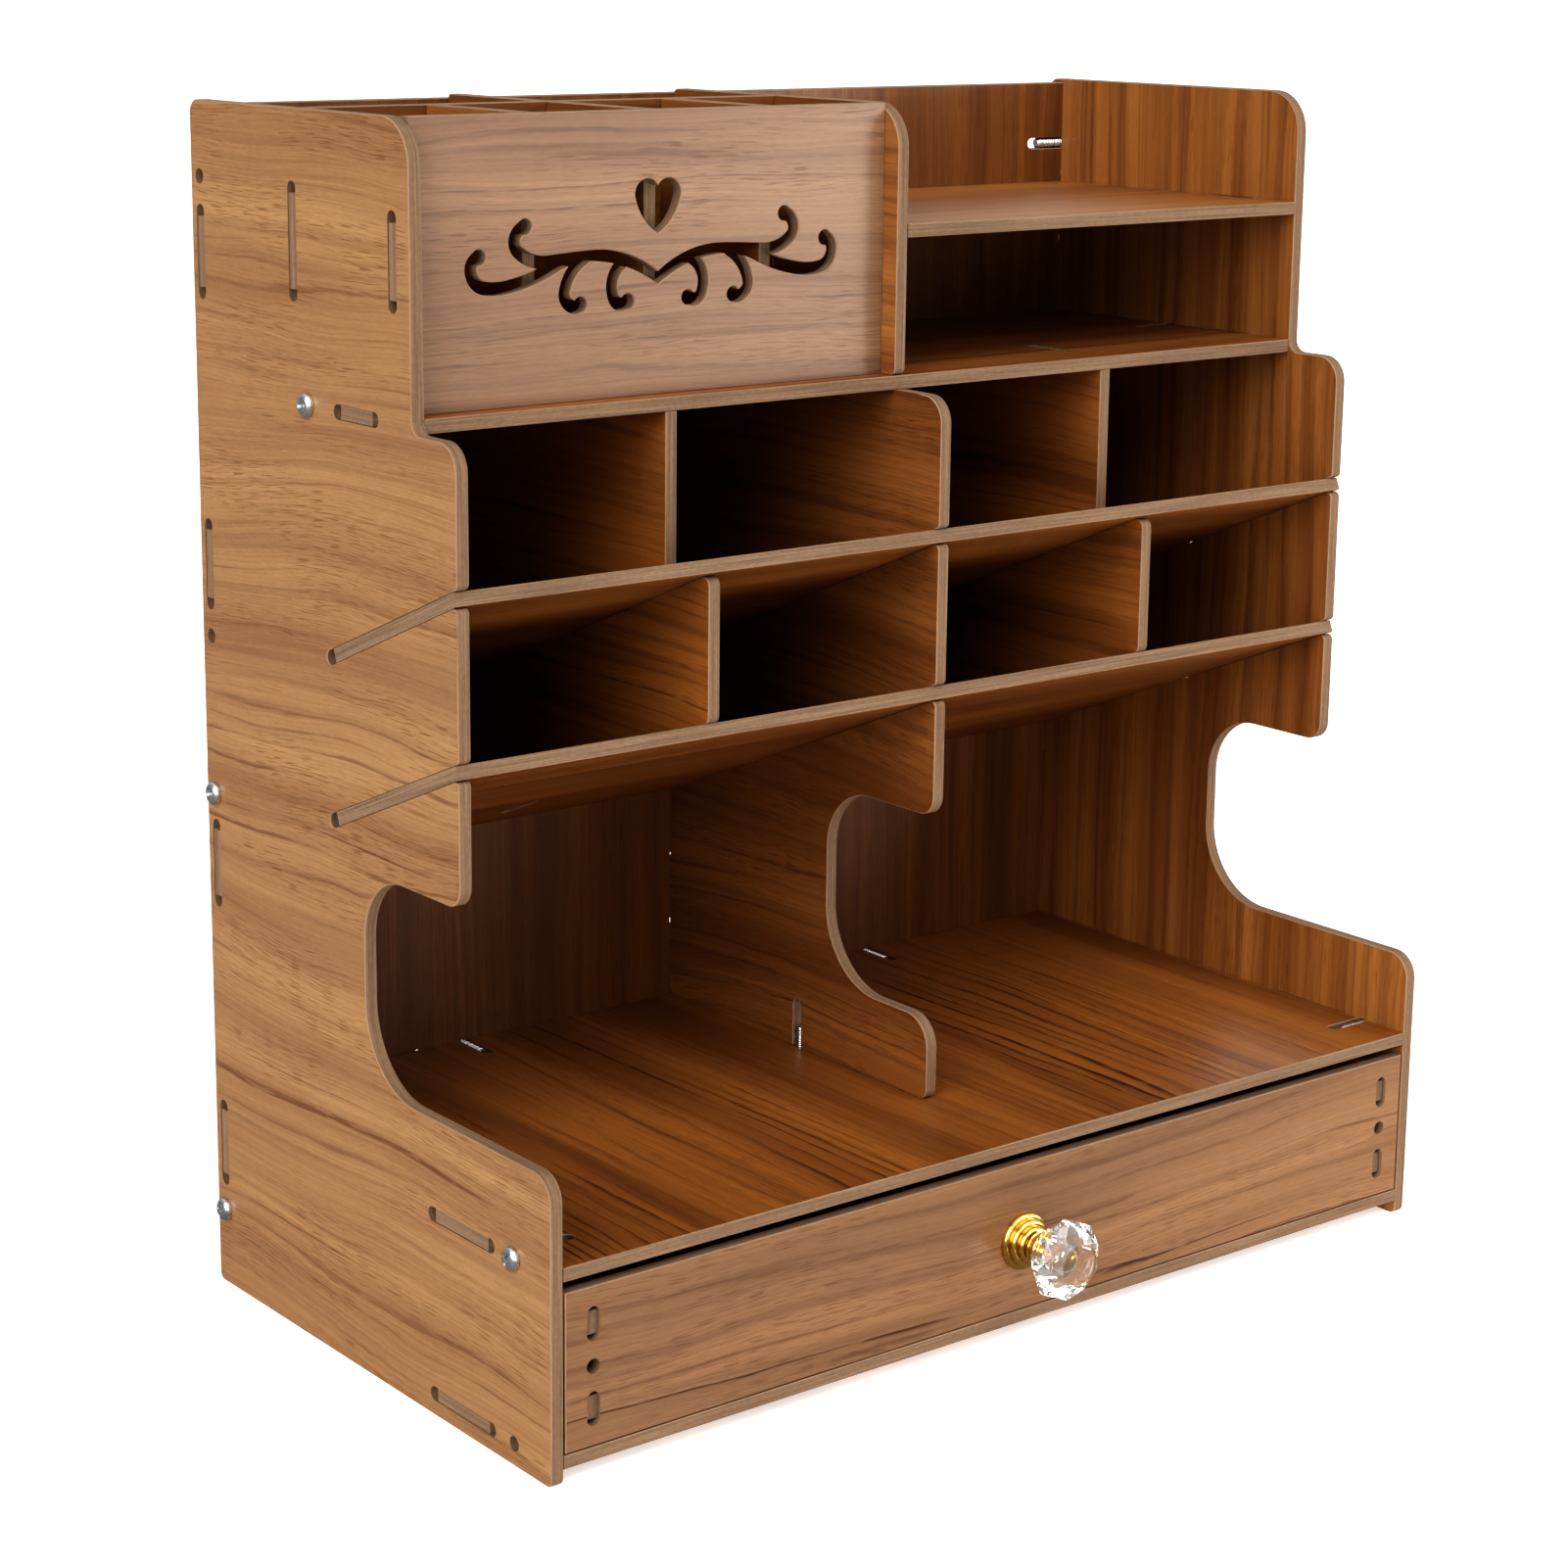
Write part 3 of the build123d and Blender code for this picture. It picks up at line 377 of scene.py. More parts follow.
def fibreboardCore(name, through, arris):
    # Sawn edge of medium density fibreboard: dull grey-tan, faint lines along the layers, fine fibres.
    # The arris is the same edge painted paler, a painted highlight where foil and core meet
    material, tree, shader = newMaterial(name)
    pale, mid, dark = [linearColour(coreLook[key]) for key in ("pale", "mid", "dark")]
    # the arris copy swaps in paler tones: painted highlight
    if arris:
        dark, mid = mid, linearColour(coreLook["arris"])
    along = Vector((1, 0, 0)) if abs(through.x) < 0.5 else Vector((0, 1, 0))
    place = addNode(tree, "ShaderNodeTexCoord")
    turned = addNode(tree, "ShaderNodeMapping", {
        "Scale": (1 / mm, 1 / mm, 1 / mm), "Rotation": grainTurn(along, through).to_euler()},
        {"Vector": place.outputs["Object"]})
    looks = []
    for run in (coreLook["layerRun"], coreLook["fibreRun"]):
        scaled = addNode(tree, "ShaderNodeVectorMath", {
            "operation": "MULTIPLY", 1: [1 / length for length in run]}, {0: turned.outputs[0]})
        looks.append(addNode(tree, "ShaderNodeTexNoise", {"Scale": 1.0, "Detail": 2.0},
                             {"Vector": scaled.outputs[0]}))
    layers, fibres = looks
    both = addNode(tree, "ShaderNodeMath", {"operation": "MULTIPLY_ADD", 1: coreLook["fibreShare"]},
                   {0: fibres.outputs[0], 2: layers.outputs[0]})
    colour = addNode(tree, "ShaderNodeValToRGB", {
        "stops": list(zip(coreLook["toneStops"], (dark, mid, pale)))}, {0: both.outputs[0]})
    bump = addNode(tree, "ShaderNodeBump", {
        "Strength": coreLook["bump"], "Distance": coreLook["bumpHeight"]}, {"Height": both.outputs[0]})
    shader.inputs["Roughness"].default_value = coreLook["roughness"]
    tree.links.new(colour.outputs[0], shader.inputs["Base Color"])
    tree.links.new(bump.outputs[0], shader.inputs["Normal"])
    return material


# Router cut of the boards: eased arris on open edges and large cut-outs, none in slots, in holes or where
# boards meet
boardCut = {"arris": 0.28 * mm, "narrow": 5 * mm, "meets": 0.25 * mm, "probes": (0.25, 0.5, 0.75),
            "flat": math.radians(0.5), "smooth": math.radians(30), "facing": 0.999, "square": 0.99}
coreMaterials = {}
boardTrees = {node: BVHTree.FromPolygons([v.co for v in frame["nodes"][node].data.vertices],
                                         [list(p.vertices) for p in frame["nodes"][node].data.polygons])
              for node in boards}


def openRims(mesh, node):
    # the rims to ease: edges between foil and core, outside narrow loops and away from other boards
    left = {edge for edge in mesh.edges if len({face.material_index for face in edge.link_faces}) == 2}
    others = [tree for name, tree in boardTrees.items() if name != node]
    rims = []
    while left:
        loop, queue = [], [left.pop()]
        while queue:
            edge = queue.pop()
            loop.append(edge)
            for vert in edge.verts:
                nextEdges = left.intersection(vert.link_edges)
                left -= nextEdges
                queue.extend(nextEdges)
        points = [vert.co for edge in loop for vert in edge.verts]
        spans = sorted(max(p[i] for p in points) - min(p[i] for p in points) for i in range(3))
        if spans[1] < boardCut["narrow"]:
            continue
        for edge in loop:
            start, end = [vert.co for vert in edge.verts]
            spots = [start.lerp(end, share) for share in boardCut["probes"]]
            meets = [any(tree.find_nearest(spot, boardCut["meets"])[0] for tree in others) for spot in spots]
            if not all(meets):
                rims.append(edge)
    return rims


def dressBoard(node, board):
    # a merged copy of the board with its arrises eased, foil on its faces and core on its edges
    mesh = mergedCopy(node)
    largest = max(mesh.faces, key=lambda face: face.calc_area())
    through = largest.normal.copy()
    through *= 1 if max(through, key=abs) > 0 else -1
    bmesh.ops.dissolve_limit(mesh, angle_limit=boardCut["flat"], verts=mesh.verts, edges=mesh.edges)
    for face in mesh.faces:
        face.material_index = 0 if abs(face.normal.dot(through)) > boardCut["facing"] else 1
    # the eased arris gets material 2, the paler core copy that paints a highlight along it
    bmesh.ops.bevel(mesh, geom=openRims(mesh, node), offset=boardCut["arris"], offset_type="OFFSET",
                    segments=1, profile=0.5, affect="EDGES", clamp_overlap=False, material=2, loop_slide=False)
    for face in mesh.faces:
        face.smooth = True
    data = bpy.data.meshes.new(pieceName(node))
    mesh.to_mesh(data)
    mesh.free()
    data.set_sharp_from_angle(angle=boardCut["smooth"])
    facing = "XYZ"[max(range(3), key=lambda i: abs(through[i]))]
    facing = facing if max(abs(c) for c in through) > boardCut["square"] else "Slant"
    if facing not in coreMaterials:
        # the second core copy is the paler arris one: painted highlight
        coreMaterials[facing] = [fibreboardCore("fibreboardCore." + facing, through, False),
                                 fibreboardCore("fibreboardArrisHighlight." + facing, through, True)]
    for material in [teakFoil(node, board, through), *coreMaterials[facing]]:
        data.materials.append(material)
    return addPiece(pieceName(node), data, bodyOf[node], "laminated_board", node)


for node, board in boards.items():
    dressBoard(node, {**plainBoard, **board})
print("boards dressed:", len(boards))


zincLook = {"patches": 900.0, "detail": 3.0, "range": (0.3, 0.7), "tones": ("#C4C7CB", "#E8EAEC"),
            "roughness": (0.18, 0.34)}


def zincPlate():
    # Zinc-plated steel: bluish white metal, a little uneven from the barrel it was plated in
    material, tree, shader = newMaterial("zincPlate")
    place = addNode(tree, "ShaderNodeTexCoord")
    patches = addNode(tree, "ShaderNodeTexNoise", {"Scale": zincLook["patches"], "Detail": zincLook["detail"]},
                      {"Vector": place.outputs["Object"]})
    colour = addNode(tree, "ShaderNodeValToRGB", {
        "stops": list(zip(zincLook["range"], map(linearColour, zincLook["tones"])))}, {0: patches.outputs[0]})
    rough = addNode(tree, "ShaderNodeMapRange", {3: zincLook["roughness"][0], 4: zincLook["roughness"][1]},
                    {0: patches.outputs[0]})
    shader.inputs["Metallic"].default_value = 1.0
    tree.links.new(colour.outputs[0], shader.inputs["Base Color"])
    tree.links.new(rough.outputs[0], shader.inputs["Roughness"])
    return material


zinc = zincPlate()

# Pan-head screw, sizes in mm, the underside of its head at zero and its shank downwards
screwShape = {
    "headRadius": 3.5, "headHeight": 2.5, "rimHeight": 0.9, "rimChamfer": (0.15, 0.2), "crownSteps": 7,
    "crownFlat": 0.8, "sides": 40, "coreRadius": 1.68, "threadRadius": 1.98, "pitch": 0.7, "ridge": 0.42,
    "turnSteps": 18, "tip": 0.5, "recessWidth": 1.05, "recessReach": 2.2, "recessDepth": 1.7,
    "recessFoot": 0.55, "recessAbove": 0.5, "headOnly": 3.2, "smooth": math.radians(35),
}


def lathe(profile, sides):
    # profile: (radius, height) from bottom to top, closed on the axis at both ends
    mesh = bmesh.new()
    rings = []
    for radius, height in profile:
        if radius < 1e-6:
            rings.append([mesh.verts.new((0, 0, height))])
            continue
        turn = [2 * math.pi * i / sides for i in range(sides)]
        rings.append([mesh.verts.new((radius * math.cos(t), radius * math.sin(t), height)) for t in turn])
    for lower, upper in zip(rings, rings[1:]):
        for i in range(sides):
            corners = [lower[i % len(lower)], lower[(i + 1) % len(lower)],
                       upper[(i + 1) % len(upper)], upper[i % len(upper)]]
            corners = list(dict.fromkeys(corners))
            if len(corners) > 2:
                mesh.faces.new(corners)
    bmesh.ops.recalc_face_normals(mesh, faces=mesh.faces)
    return mesh


def bakedMesh(holder, name):
    # the evaluated modifiers of holder as one plain mesh
    depsgraph = bpy.context.evaluated_depsgraph_get()
    data = bpy.data.meshes.new_from_object(holder.evaluated_get(depsgraph), depsgraph=depsgraph)
    data.name = name
    return data


def looseObject(name, mesh):
    data = bpy.data.meshes.new(name)
    mesh.to_mesh(data)
    mesh.free()
    holder = bpy.data.objects.new(name, data)
    bpy.context.scene.collection.objects.link(holder)
    return holder


def screwBlank(shankLength):
    # head, recess and bare shank of one screw
    s = screwShape
    profile = [(0, -shankLength), (s["coreRadius"] - s["tip"], -shankLength),
               (s["coreRadius"], -shankLength + s["tip"]), (s["coreRadius"], 0),
               (s["headRadius"] - s["rimChamfer"][0], 0), (s["headRadius"], s["rimChamfer"][1]),
               (s["headRadius"], s["rimHeight"])]
    crown = s["headHeight"] - s["rimHeight"]
    for i in range(1, s["crownSteps"] + 1):
        t = math.pi / 2 * i / s["crownSteps"]
        profile.append((s["headRadius"] * math.cos(t) ** s["crownFlat"] if i < s["crownSteps"] else 0,
                        s["rimHeight"] + crown * math.sin(t)))
    blank = looseObject("screwBlank", lathe([(r * mm, h * mm) for r, h in profile], s["sides"]))
    cutter = bmesh.new()
    half, far = s["recessWidth"] / 2, s["recessReach"]
    cross = [(half, half), (half, far), (-half, far), (-half, half), (-far, half), (-far, -half),
             (-half, -half), (-half, -far), (half, -far), (half, -half), (far, -half), (far, half)]
    top = [cutter.verts.new((x * mm, y * mm, (s["headHeight"] + s["recessAbove"]) * mm)) for x, y in cross]
    foot = [cutter.verts.new((x * s["recessFoot"] * mm, y * s["recessFoot"] * mm,
                              (s["headHeight"] - s["recessDepth"]) * mm)) for x, y in cross]
    cutter.faces.new(top)
    cutter.faces.new(foot[::-1])
    for i in range(len(cross)):
        cutter.faces.new((top[i - 1], top[i], foot[i], foot[i - 1]))
    bmesh.ops.recalc_face_normals(cutter, faces=cutter.faces)
    recess = looseObject("screwRecess", cutter)
    cut = blank.modifiers.new("recess", "BOOLEAN")
    cut.object = recess
    cut.operation = "DIFFERENCE"
    data = bakedMesh(blank, "screwBlank")
    blank.modifiers.remove(cut)
    blank.data = data
    bpy.data.objects.remove(recess)
    for polygon in data.polygons:
        polygon.use_smooth = True
    data.set_sharp_from_angle(angle=s["smooth"])
    return blank


def screwTree():
    # each point gets a blank with its thread wound on, turned to its own aim
    tree = bpy.data.node_groups.new("screwTree", "GeometryNodeTree")
    for name, kind in (("Places", "NodeSocketGeometry"), ("Blank", "NodeSocketObject"),
                       ("Thread Radius", "NodeSocketFloat"), ("Thread Pitch", "NodeSocketFloat"),
                       ("Thread Length", "NodeSocketFloat"), ("Finish", "NodeSocketMaterial"),
                       ("Seed", "NodeSocketInt")):
        tree.interface.new_socket(name, in_out="INPUT", socket_type=kind)
    tree.interface.new_socket("Screws", in_out="OUTPUT", socket_type="NodeSocketGeometry")
    given = addNode(tree, "NodeGroupInput").outputs
    turns = addNode(tree, "ShaderNodeMath", {"operation": "DIVIDE"},
                    {0: given["Thread Length"], 1: given["Thread Pitch"]})
    ridge = addNode(tree, "ShaderNodeMath", {"operation": "MULTIPLY", 1: screwShape["ridge"]},
                    {0: given["Thread Pitch"]})
    pathRadius = addNode(tree, "ShaderNodeMath", {"operation": "SUBTRACT"},
                         {0: given["Thread Radius"], 1: ridge.outputs[0]})
    below = addNode(tree, "ShaderNodeMath", {"operation": "MULTIPLY", 1: -1.0}, {0: given["Thread Length"]})
    helix = addNode(tree, "GeometryNodeCurveSpiral", {"Resolution": screwShape["turnSteps"]}, {
        "Rotations": turns.outputs[0], "Start Radius": pathRadius.outputs[0],
        "End Radius": pathRadius.outputs[0], "Height": given["Thread Length"]})
    lift = addNode(tree, "ShaderNodeCombineXYZ", links={"Z": below.outputs[0]})
    hung = addNode(tree, "GeometryNodeTransform", links={
        "Geometry": helix.outputs[0], "Translation": lift.outputs[0]})
    section = addNode(tree, "GeometryNodeCurvePrimitiveCircle", {"Resolution": 4},
                      {"Radius": ridge.outputs[0]})
    thread = addNode(tree, "GeometryNodeCurveToMesh", {"Fill Caps": True}, {
        "Curve": hung.outputs[0], "Profile Curve": section.outputs[0]})
    blank = addNode(tree, "GeometryNodeObjectInfo", links={"Object": given["Blank"]})
    screw = addNode(tree, "GeometryNodeJoinGeometry")
    for part in (thread.outputs[0], blank.outputs["Geometry"]):
        tree.links.new(part, screw.inputs[0])
    aim = addNode(tree, "GeometryNodeInputNamedAttribute", {"data_type": "FLOAT_VECTOR", "Name": "aim"})
    turned = addNode(tree, "FunctionNodeAlignRotationToVector", {"axis": "Z"}, {"Vector": aim.outputs[0]})
    spin = addNode(tree, "FunctionNodeRandomValue", {"data_type": "FLOAT", 2: 0.0, 3: math.pi / 2},
                   {"Seed": given["Seed"]})
    spinAxis = addNode(tree, "FunctionNodeAxisAngleToRotation", {"Axis": (0, 0, 1)}, {"Angle": spin.outputs[1]})
    rotation = addNode(tree, "FunctionNodeRotateRotation", {"rotation_space": "LOCAL"}, {
        "Rotation": turned.outputs[0], "Rotate By": spinAxis.outputs[0]})
    spread = addNode(tree, "GeometryNodeInstanceOnPoints", links={
        "Points": given["Places"], "Instance": screw.outputs[0], "Rotation": rotation.outputs[0]})
    real = addNode(tree, "GeometryNodeRealizeInstances", links={0: spread.outputs[0]})
    finished = addNode(tree, "GeometryNodeSetMaterial", links={
        "Geometry": real.outputs[0], "Material": given["Finish"]})
    addNode(tree, "NodeGroupOutput", links={0: finished.outputs[0]})
    return tree


def screwPlaces(node):
    # (seat under the head, direction of the head) of each screw of a CAD node, by shank length in mm
    mesh = mergedCopy(node)
    left = set(mesh.verts)
    places = {}
    while left:
        island, queue = set(), [left.pop()]
        while queue:
            vert = queue.pop()
            island.add(vert)
            for edge in vert.link_edges:
                other = edge.other_vert(vert)
                if other in left:
                    left.remove(other)
                    queue.append(other)
        points = [vert.co for vert in island]
        low = Vector([min(p[i] for p in points) for i in range(3)])
        high = Vector([max(p[i] for p in points) for i in range(3)])
        axis = max(range(3), key=lambda i: high[i] - low[i])
        middle = (low + high) / 2
        headRim = [p[axis] for p in points if screwShape["headOnly"] * mm
                   < Vector([p[i] - middle[i] for i in range(3) if i != axis]).length]
        aim = Vector((0, 0, 0))
        aim[axis] = 1 if headRim[0] > middle[axis] else -1
        seat = middle.copy()
        seat[axis] = min(headRim) if aim[axis] > 0 else max(headRim)
        tip = low[axis] if aim[axis] > 0 else high[axis]
        places.setdefault(round(abs(seat[axis] - tip) / mm, 1), []).append((seat, aim))
    mesh.free()
    return {length: sorted(group, key=lambda place: tuple(place[0]))
            for length, group in sorted(places.items())}


def driveScrews(name, node, seed):
    # every screw of a CAD node wound by the node tree, then joined into one mesh
    joined = bmesh.new()
    for length, places in screwPlaces(node).items():
        blank = screwBlank(length)
        holder = looseObject(name + "Places", bmesh.new())
        holder.data.from_pydata([seat for seat, aim in places], [], [])
        aims = holder.data.attributes.new("aim", "FLOAT_VECTOR", "POINT")
        aims.data.foreach_set("vector", [c for seat, aim in places for c in aim])
        wind = holder.modifiers.new("screws", "NODES")
        wind.node_group = screwNodes
        values = {
            "Blank": blank, "Thread Radius": screwShape["threadRadius"] * mm,
            "Thread Pitch": screwShape["pitch"] * mm, "Thread Length": (length - screwShape["tip"]) * mm,
            "Finish": zinc, "Seed": seed,
        }
        for item in screwNodes.interface.items_tree:
            if item.in_out == "INPUT" and item.name in values:
                wind[item.identifier] = values[item.name]
        joined.from_mesh(bakedMesh(holder, name))
        holder.modifiers.remove(wind)
        bpy.data.objects.remove(holder)
        bpy.data.objects.remove(blank)
    data = bpy.data.meshes.new(name)
    joined.to_mesh(data)
    joined.free()
    data.materials.append(zinc)
    return addPiece(name, data, bodyOf[node], "zinc_steel", node)


screwNodes = screwTree()
driveScrews("carcassScrews", "carcass_screws", 4)
driveScrews("knobScrew", "knob_screw", 9)
print("screws driven")

# Knob, sizes in mm, forward from the face of the drawer
knobShape = {
    "rings": (8.75, 7.3, 5.8), "ringHeight": 2.0, "ringRound": 1.25, "ringSet": 0.1,
    "neckRadius": 3.75, "neckRun": (6.0, 9.3), "waist": 0.45, "neckCurve": 3, "neckSteps": 12,
    "cupRadius": 6.3, "cupEnd": 11.44, "cupRound": 0.7, "cupChamfer": 0.3, "spigotFillet": 0.2,
    "spigotRadius": 3.5, "spigotEnd": 16.4, "spigotNose": ((0.0, 1.0), (0.4, 0.3), (1.3, 0.0)),
    "bore": 1.85, "boreDepth": 8.0, "sides": 96, "roundSteps": 6, "smooth": math.radians(40),
}

goldLook = {"peel": 700.0, "detail": 2.0, "range": (0.3, 0.7), "tones": ("#C9A055", "#DDBB72"),
            "roughness": (0.1, 0.2), "bump": 0.05, "bumpHeight": 0.1 * mm}


def goldPlate():
    # Gold-plated zinc casting, polished: deep yellow mirror with a faint orange peel
    material, tree, shader = newMaterial("goldPlate")
    place = addNode(tree, "ShaderNodeTexCoord")
    peel = addNode(tree, "ShaderNodeTexNoise", {"Scale": goldLook["peel"], "Detail": goldLook["detail"]},
                   {"Vector": place.outputs["Object"]})
    colour = addNode(tree, "ShaderNodeValToRGB", {
        "stops": list(zip(goldLook["range"], map(linearColour, goldLook["tones"])))}, {0: peel.outputs[0]})
    rough = addNode(tree, "ShaderNodeMapRange", {3: goldLook["roughness"][0], 4: goldLook["roughness"][1]},
                    {0: peel.outputs[0]})
    bump = addNode(tree, "ShaderNodeBump", {
        "Strength": goldLook["bump"], "Distance": goldLook["bumpHeight"]}, {"Height": peel.outputs[0]})
    shader.inputs["Metallic"].default_value = 1.0
    tree.links.new(colour.outputs[0], shader.inputs["Base Color"])
    tree.links.new(rough.outputs[0], shader.inputs["Roughness"])
    tree.links.new(bump.outputs[0], shader.inputs["Normal"])
    return material


knobLow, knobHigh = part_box("knob_base")
knobFoot = Vector(((knobLow.x + knobHigh.x) / 2, knobHigh.y, (knobLow.z + knobHigh.z) / 2))
knobFrame = Matrix.Translation(knobFoot) @ Matrix.Rotation(math.pi / 2, 4, "X")


def knobBase():
    # one turned profile: bore, three rings, waisted neck, cup and the spigot inside the crystal
    k = knobShape
    profile = [(0, k["boreDepth"]), (k["bore"], k["boreDepth"]), (k["bore"], 0)]
    quarter = [math.pi / 2 * i / k["roundSteps"] for i in range(k["roundSteps"] + 1)]
    for i, radius in enumerate(k["rings"]):
        foot, front = i * k["ringHeight"], (i + 1) * k["ringHeight"]
        profile.append((radius - (0 if i == 0 else k["ringSet"]), foot))
        for t in quarter:
            profile.append((radius - k["ringRound"] * (1 - math.cos(t)),
                            front - k["ringRound"] * (1 - math.sin(t))))
    start, end = k["neckRun"]
    neckFrom, neckTo = k["rings"][-1] - k["ringRound"], k["cupRadius"]
    for i in range(1, k["neckSteps"] + 1):
        t = i / k["neckSteps"]
        edge, reach = (neckFrom, k["waist"]) if t < k["waist"] else (neckTo, 1 - k["waist"])
        pull = (abs(t - k["waist"]) / reach) ** k["neckCurve"]
        profile.append((k["neckRadius"] + (edge - k["neckRadius"] - k["cupRound"] * 0.5) * pull,
                        start + (end - start) * t))
    for t in quarter:
        profile.append((k["cupRadius"] - k["cupRound"] * (1 - math.sin(t)),
                        end + k["cupRound"] * (1 - math.cos(t))))
    profile += [(k["cupRadius"], k["cupEnd"] - k["cupChamfer"]), (k["cupRadius"] - k["cupChamfer"], k["cupEnd"]),
                (k["spigotRadius"] + k["spigotFillet"], k["cupEnd"]),
                (k["spigotRadius"], k["cupEnd"] + k["spigotFillet"])]
    profile += [(k["spigotRadius"] - narrower, k["spigotEnd"] - before) for narrower, before in k["spigotNose"]]
    profile.append((0, k["spigotEnd"]))
    mesh = lathe([(r * mm, h * mm) for r, h in profile], k["sides"])
    mesh.transform(knobFrame)
    data = bpy.data.meshes.new("knobBase")
    for face in mesh.faces:
        face.smooth = True
    mesh.to_mesh(data)
    mesh.free()
    data.set_sharp_from_angle(angle=k["smooth"])
    data.materials.append(goldPlate())
    return addPiece("knobBase", data, "drawer", "gold_plate", "knob_base")


knobBase()

# Crystal, sizes in mm, same origin as the knob: rings of (forward, radius), then the dish and the pocket
crystalShape = {
    "facets": 8, "back": (11.5, 7.54), "girdle": ((17.5, 12.4), (19.7, 12.4)), "star": (22.4, 10.0),
    "table": (24.3, 6.2), "tableSides": 32, "dishRings": ((4.6, 0.0), (3.1, 0.38), (1.5, 0.25)),
    "pocketRadius": 3.6, "pocketEnd": 16.6, "pocketSides": 32, "flat": math.radians(0.3), "softEdge": 0.12,
}

acrylicLook = {"wave": 160.0, "detail": 1.0, "range": (0.3, 0.7), "tones": ("#FBF7F8", "#FFFFFF"),
               "bump": 0.03, "bumpHeight": 0.2 * mm, "clear": 0.97, "bends": 1.49}


def clearAcrylic():
    # Moulded clear acrylic: water white, sharp highlights, faint waviness from the mould
    material, tree, shader = newMaterial("clearAcrylic")
    place = addNode(tree, "ShaderNodeTexCoord")
    wave = addNode(tree, "ShaderNodeTexNoise", {"Scale": acrylicLook["wave"], "Detail": acrylicLook["detail"]},
                   {"Vector": place.outputs["Object"]})
    colour = addNode(tree, "ShaderNodeValToRGB", {
        "stops": list(zip(acrylicLook["range"], map(linearColour, acrylicLook["tones"])))},
        {0: wave.outputs[0]})
    bump = addNode(tree, "ShaderNodeBump", {
        "Strength": acrylicLook["bump"], "Distance": acrylicLook["bumpHeight"]}, {"Height": wave.outputs[0]})
    shader.inputs["Transmission Weight"].default_value = acrylicLook["clear"]
    shader.inputs["IOR"].default_value = acrylicLook["bends"]
    shader.inputs["Roughness"].default_value = 0.0
    tree.links.new(colour.outputs[0], shader.inputs["Base Color"])
    tree.links.new(bump.outputs[0], shader.inputs["Normal"])
    return material


def knobCrystal():
    # hull of the facet corners, edges softened, then the dish let into the table and the pocket into the back
    c = crystalShape

    def circle(sides, forward, radius, turn=0.0):
        angles = [2 * math.pi * (i + turn) / sides for i in range(sides)]
        return [Vector((radius * math.sin(a), radius * math.cos(a), forward)) * mm for a in angles]

    mesh = bmesh.new()
    cloud = circle(2 * c["facets"], *c["back"], 0.5)
    for forward, radius in c["girdle"]:
        cloud += circle(c["facets"], forward, radius)
    cloud += circle(c["facets"], *c["star"], 0.5)
    cloud += circle(c["tableSides"], *c["table"])
    for point in cloud:
        mesh.verts.new(point)
    bmesh.ops.convex_hull(mesh, input=mesh.verts)
    bmesh.ops.dissolve_limit(mesh, angle_limit=c["flat"], verts=mesh.verts, edges=mesh.edges)
    bmesh.ops.bevel(mesh, geom=mesh.edges, offset=c["softEdge"] * mm, offset_type="OFFSET", segments=1,
                    profile=0.5, affect="EDGES", clamp_overlap=True)
    table = max(mesh.faces, key=lambda face: face.calc_center_median().z)
    reach = c["table"][1]
    for radius, depth in c["dishRings"]:
        bmesh.ops.inset_region(mesh, faces=[table], thickness=(reach - radius) * mm, depth=-depth * mm)
        reach = radius
    back = min(mesh.faces, key=lambda face: face.calc_center_median().z)
    rim = list(back.edges)
    bmesh.ops.delete(mesh, geom=[back], context="FACES_ONLY")
    mouth = [mesh.verts.new(p) for p in circle(c["pocketSides"], c["back"][0], c["pocketRadius"])]
    end = [mesh.verts.new(p) for p in circle(c["pocketSides"], c["pocketEnd"], c["pocketRadius"])]
    mouthEdges = [mesh.edges.new((mouth[i - 1], mouth[i])) for i in range(len(mouth))]
    bmesh.ops.bridge_loops(mesh, edges=rim + mouthEdges)
    for i in range(len(mouth)):
        mesh.faces.new((mouth[i - 1], mouth[i], end[i], end[i - 1]))
    mesh.faces.new(end)
    bmesh.ops.recalc_face_normals(mesh, faces=mesh.faces)
    mesh.transform(knobFrame)
    data = bpy.data.meshes.new("knobCrystal")
    mesh.to_mesh(data)
    mesh.free()
    data.materials.append(clearAcrylic())
    return addPiece("knobCrystal", data, "drawer", "crystal", "knob_crystal")


knobCrystal()
print("knob made")

# Stage: pale floor, soft boxes and the photograph's camera
stageLook = {
    "floorTones": ("#F4F3F1", "#FAFAF9"), "floorRange": (0.3, 0.7), "mottle": 3.0, "floorSize": 12.0,
    "floorGlow": 0.4, "floorMirrored": "#8A8580", "floorRoughness": 0.9,
    "ambient": 0.035, "backdrop": 1.0, "mirrored": (0.12, 1.5), "seenThrough": (0.5, 1.05),
    "brightTowards": (0.72, -0.66, 0.2),
}


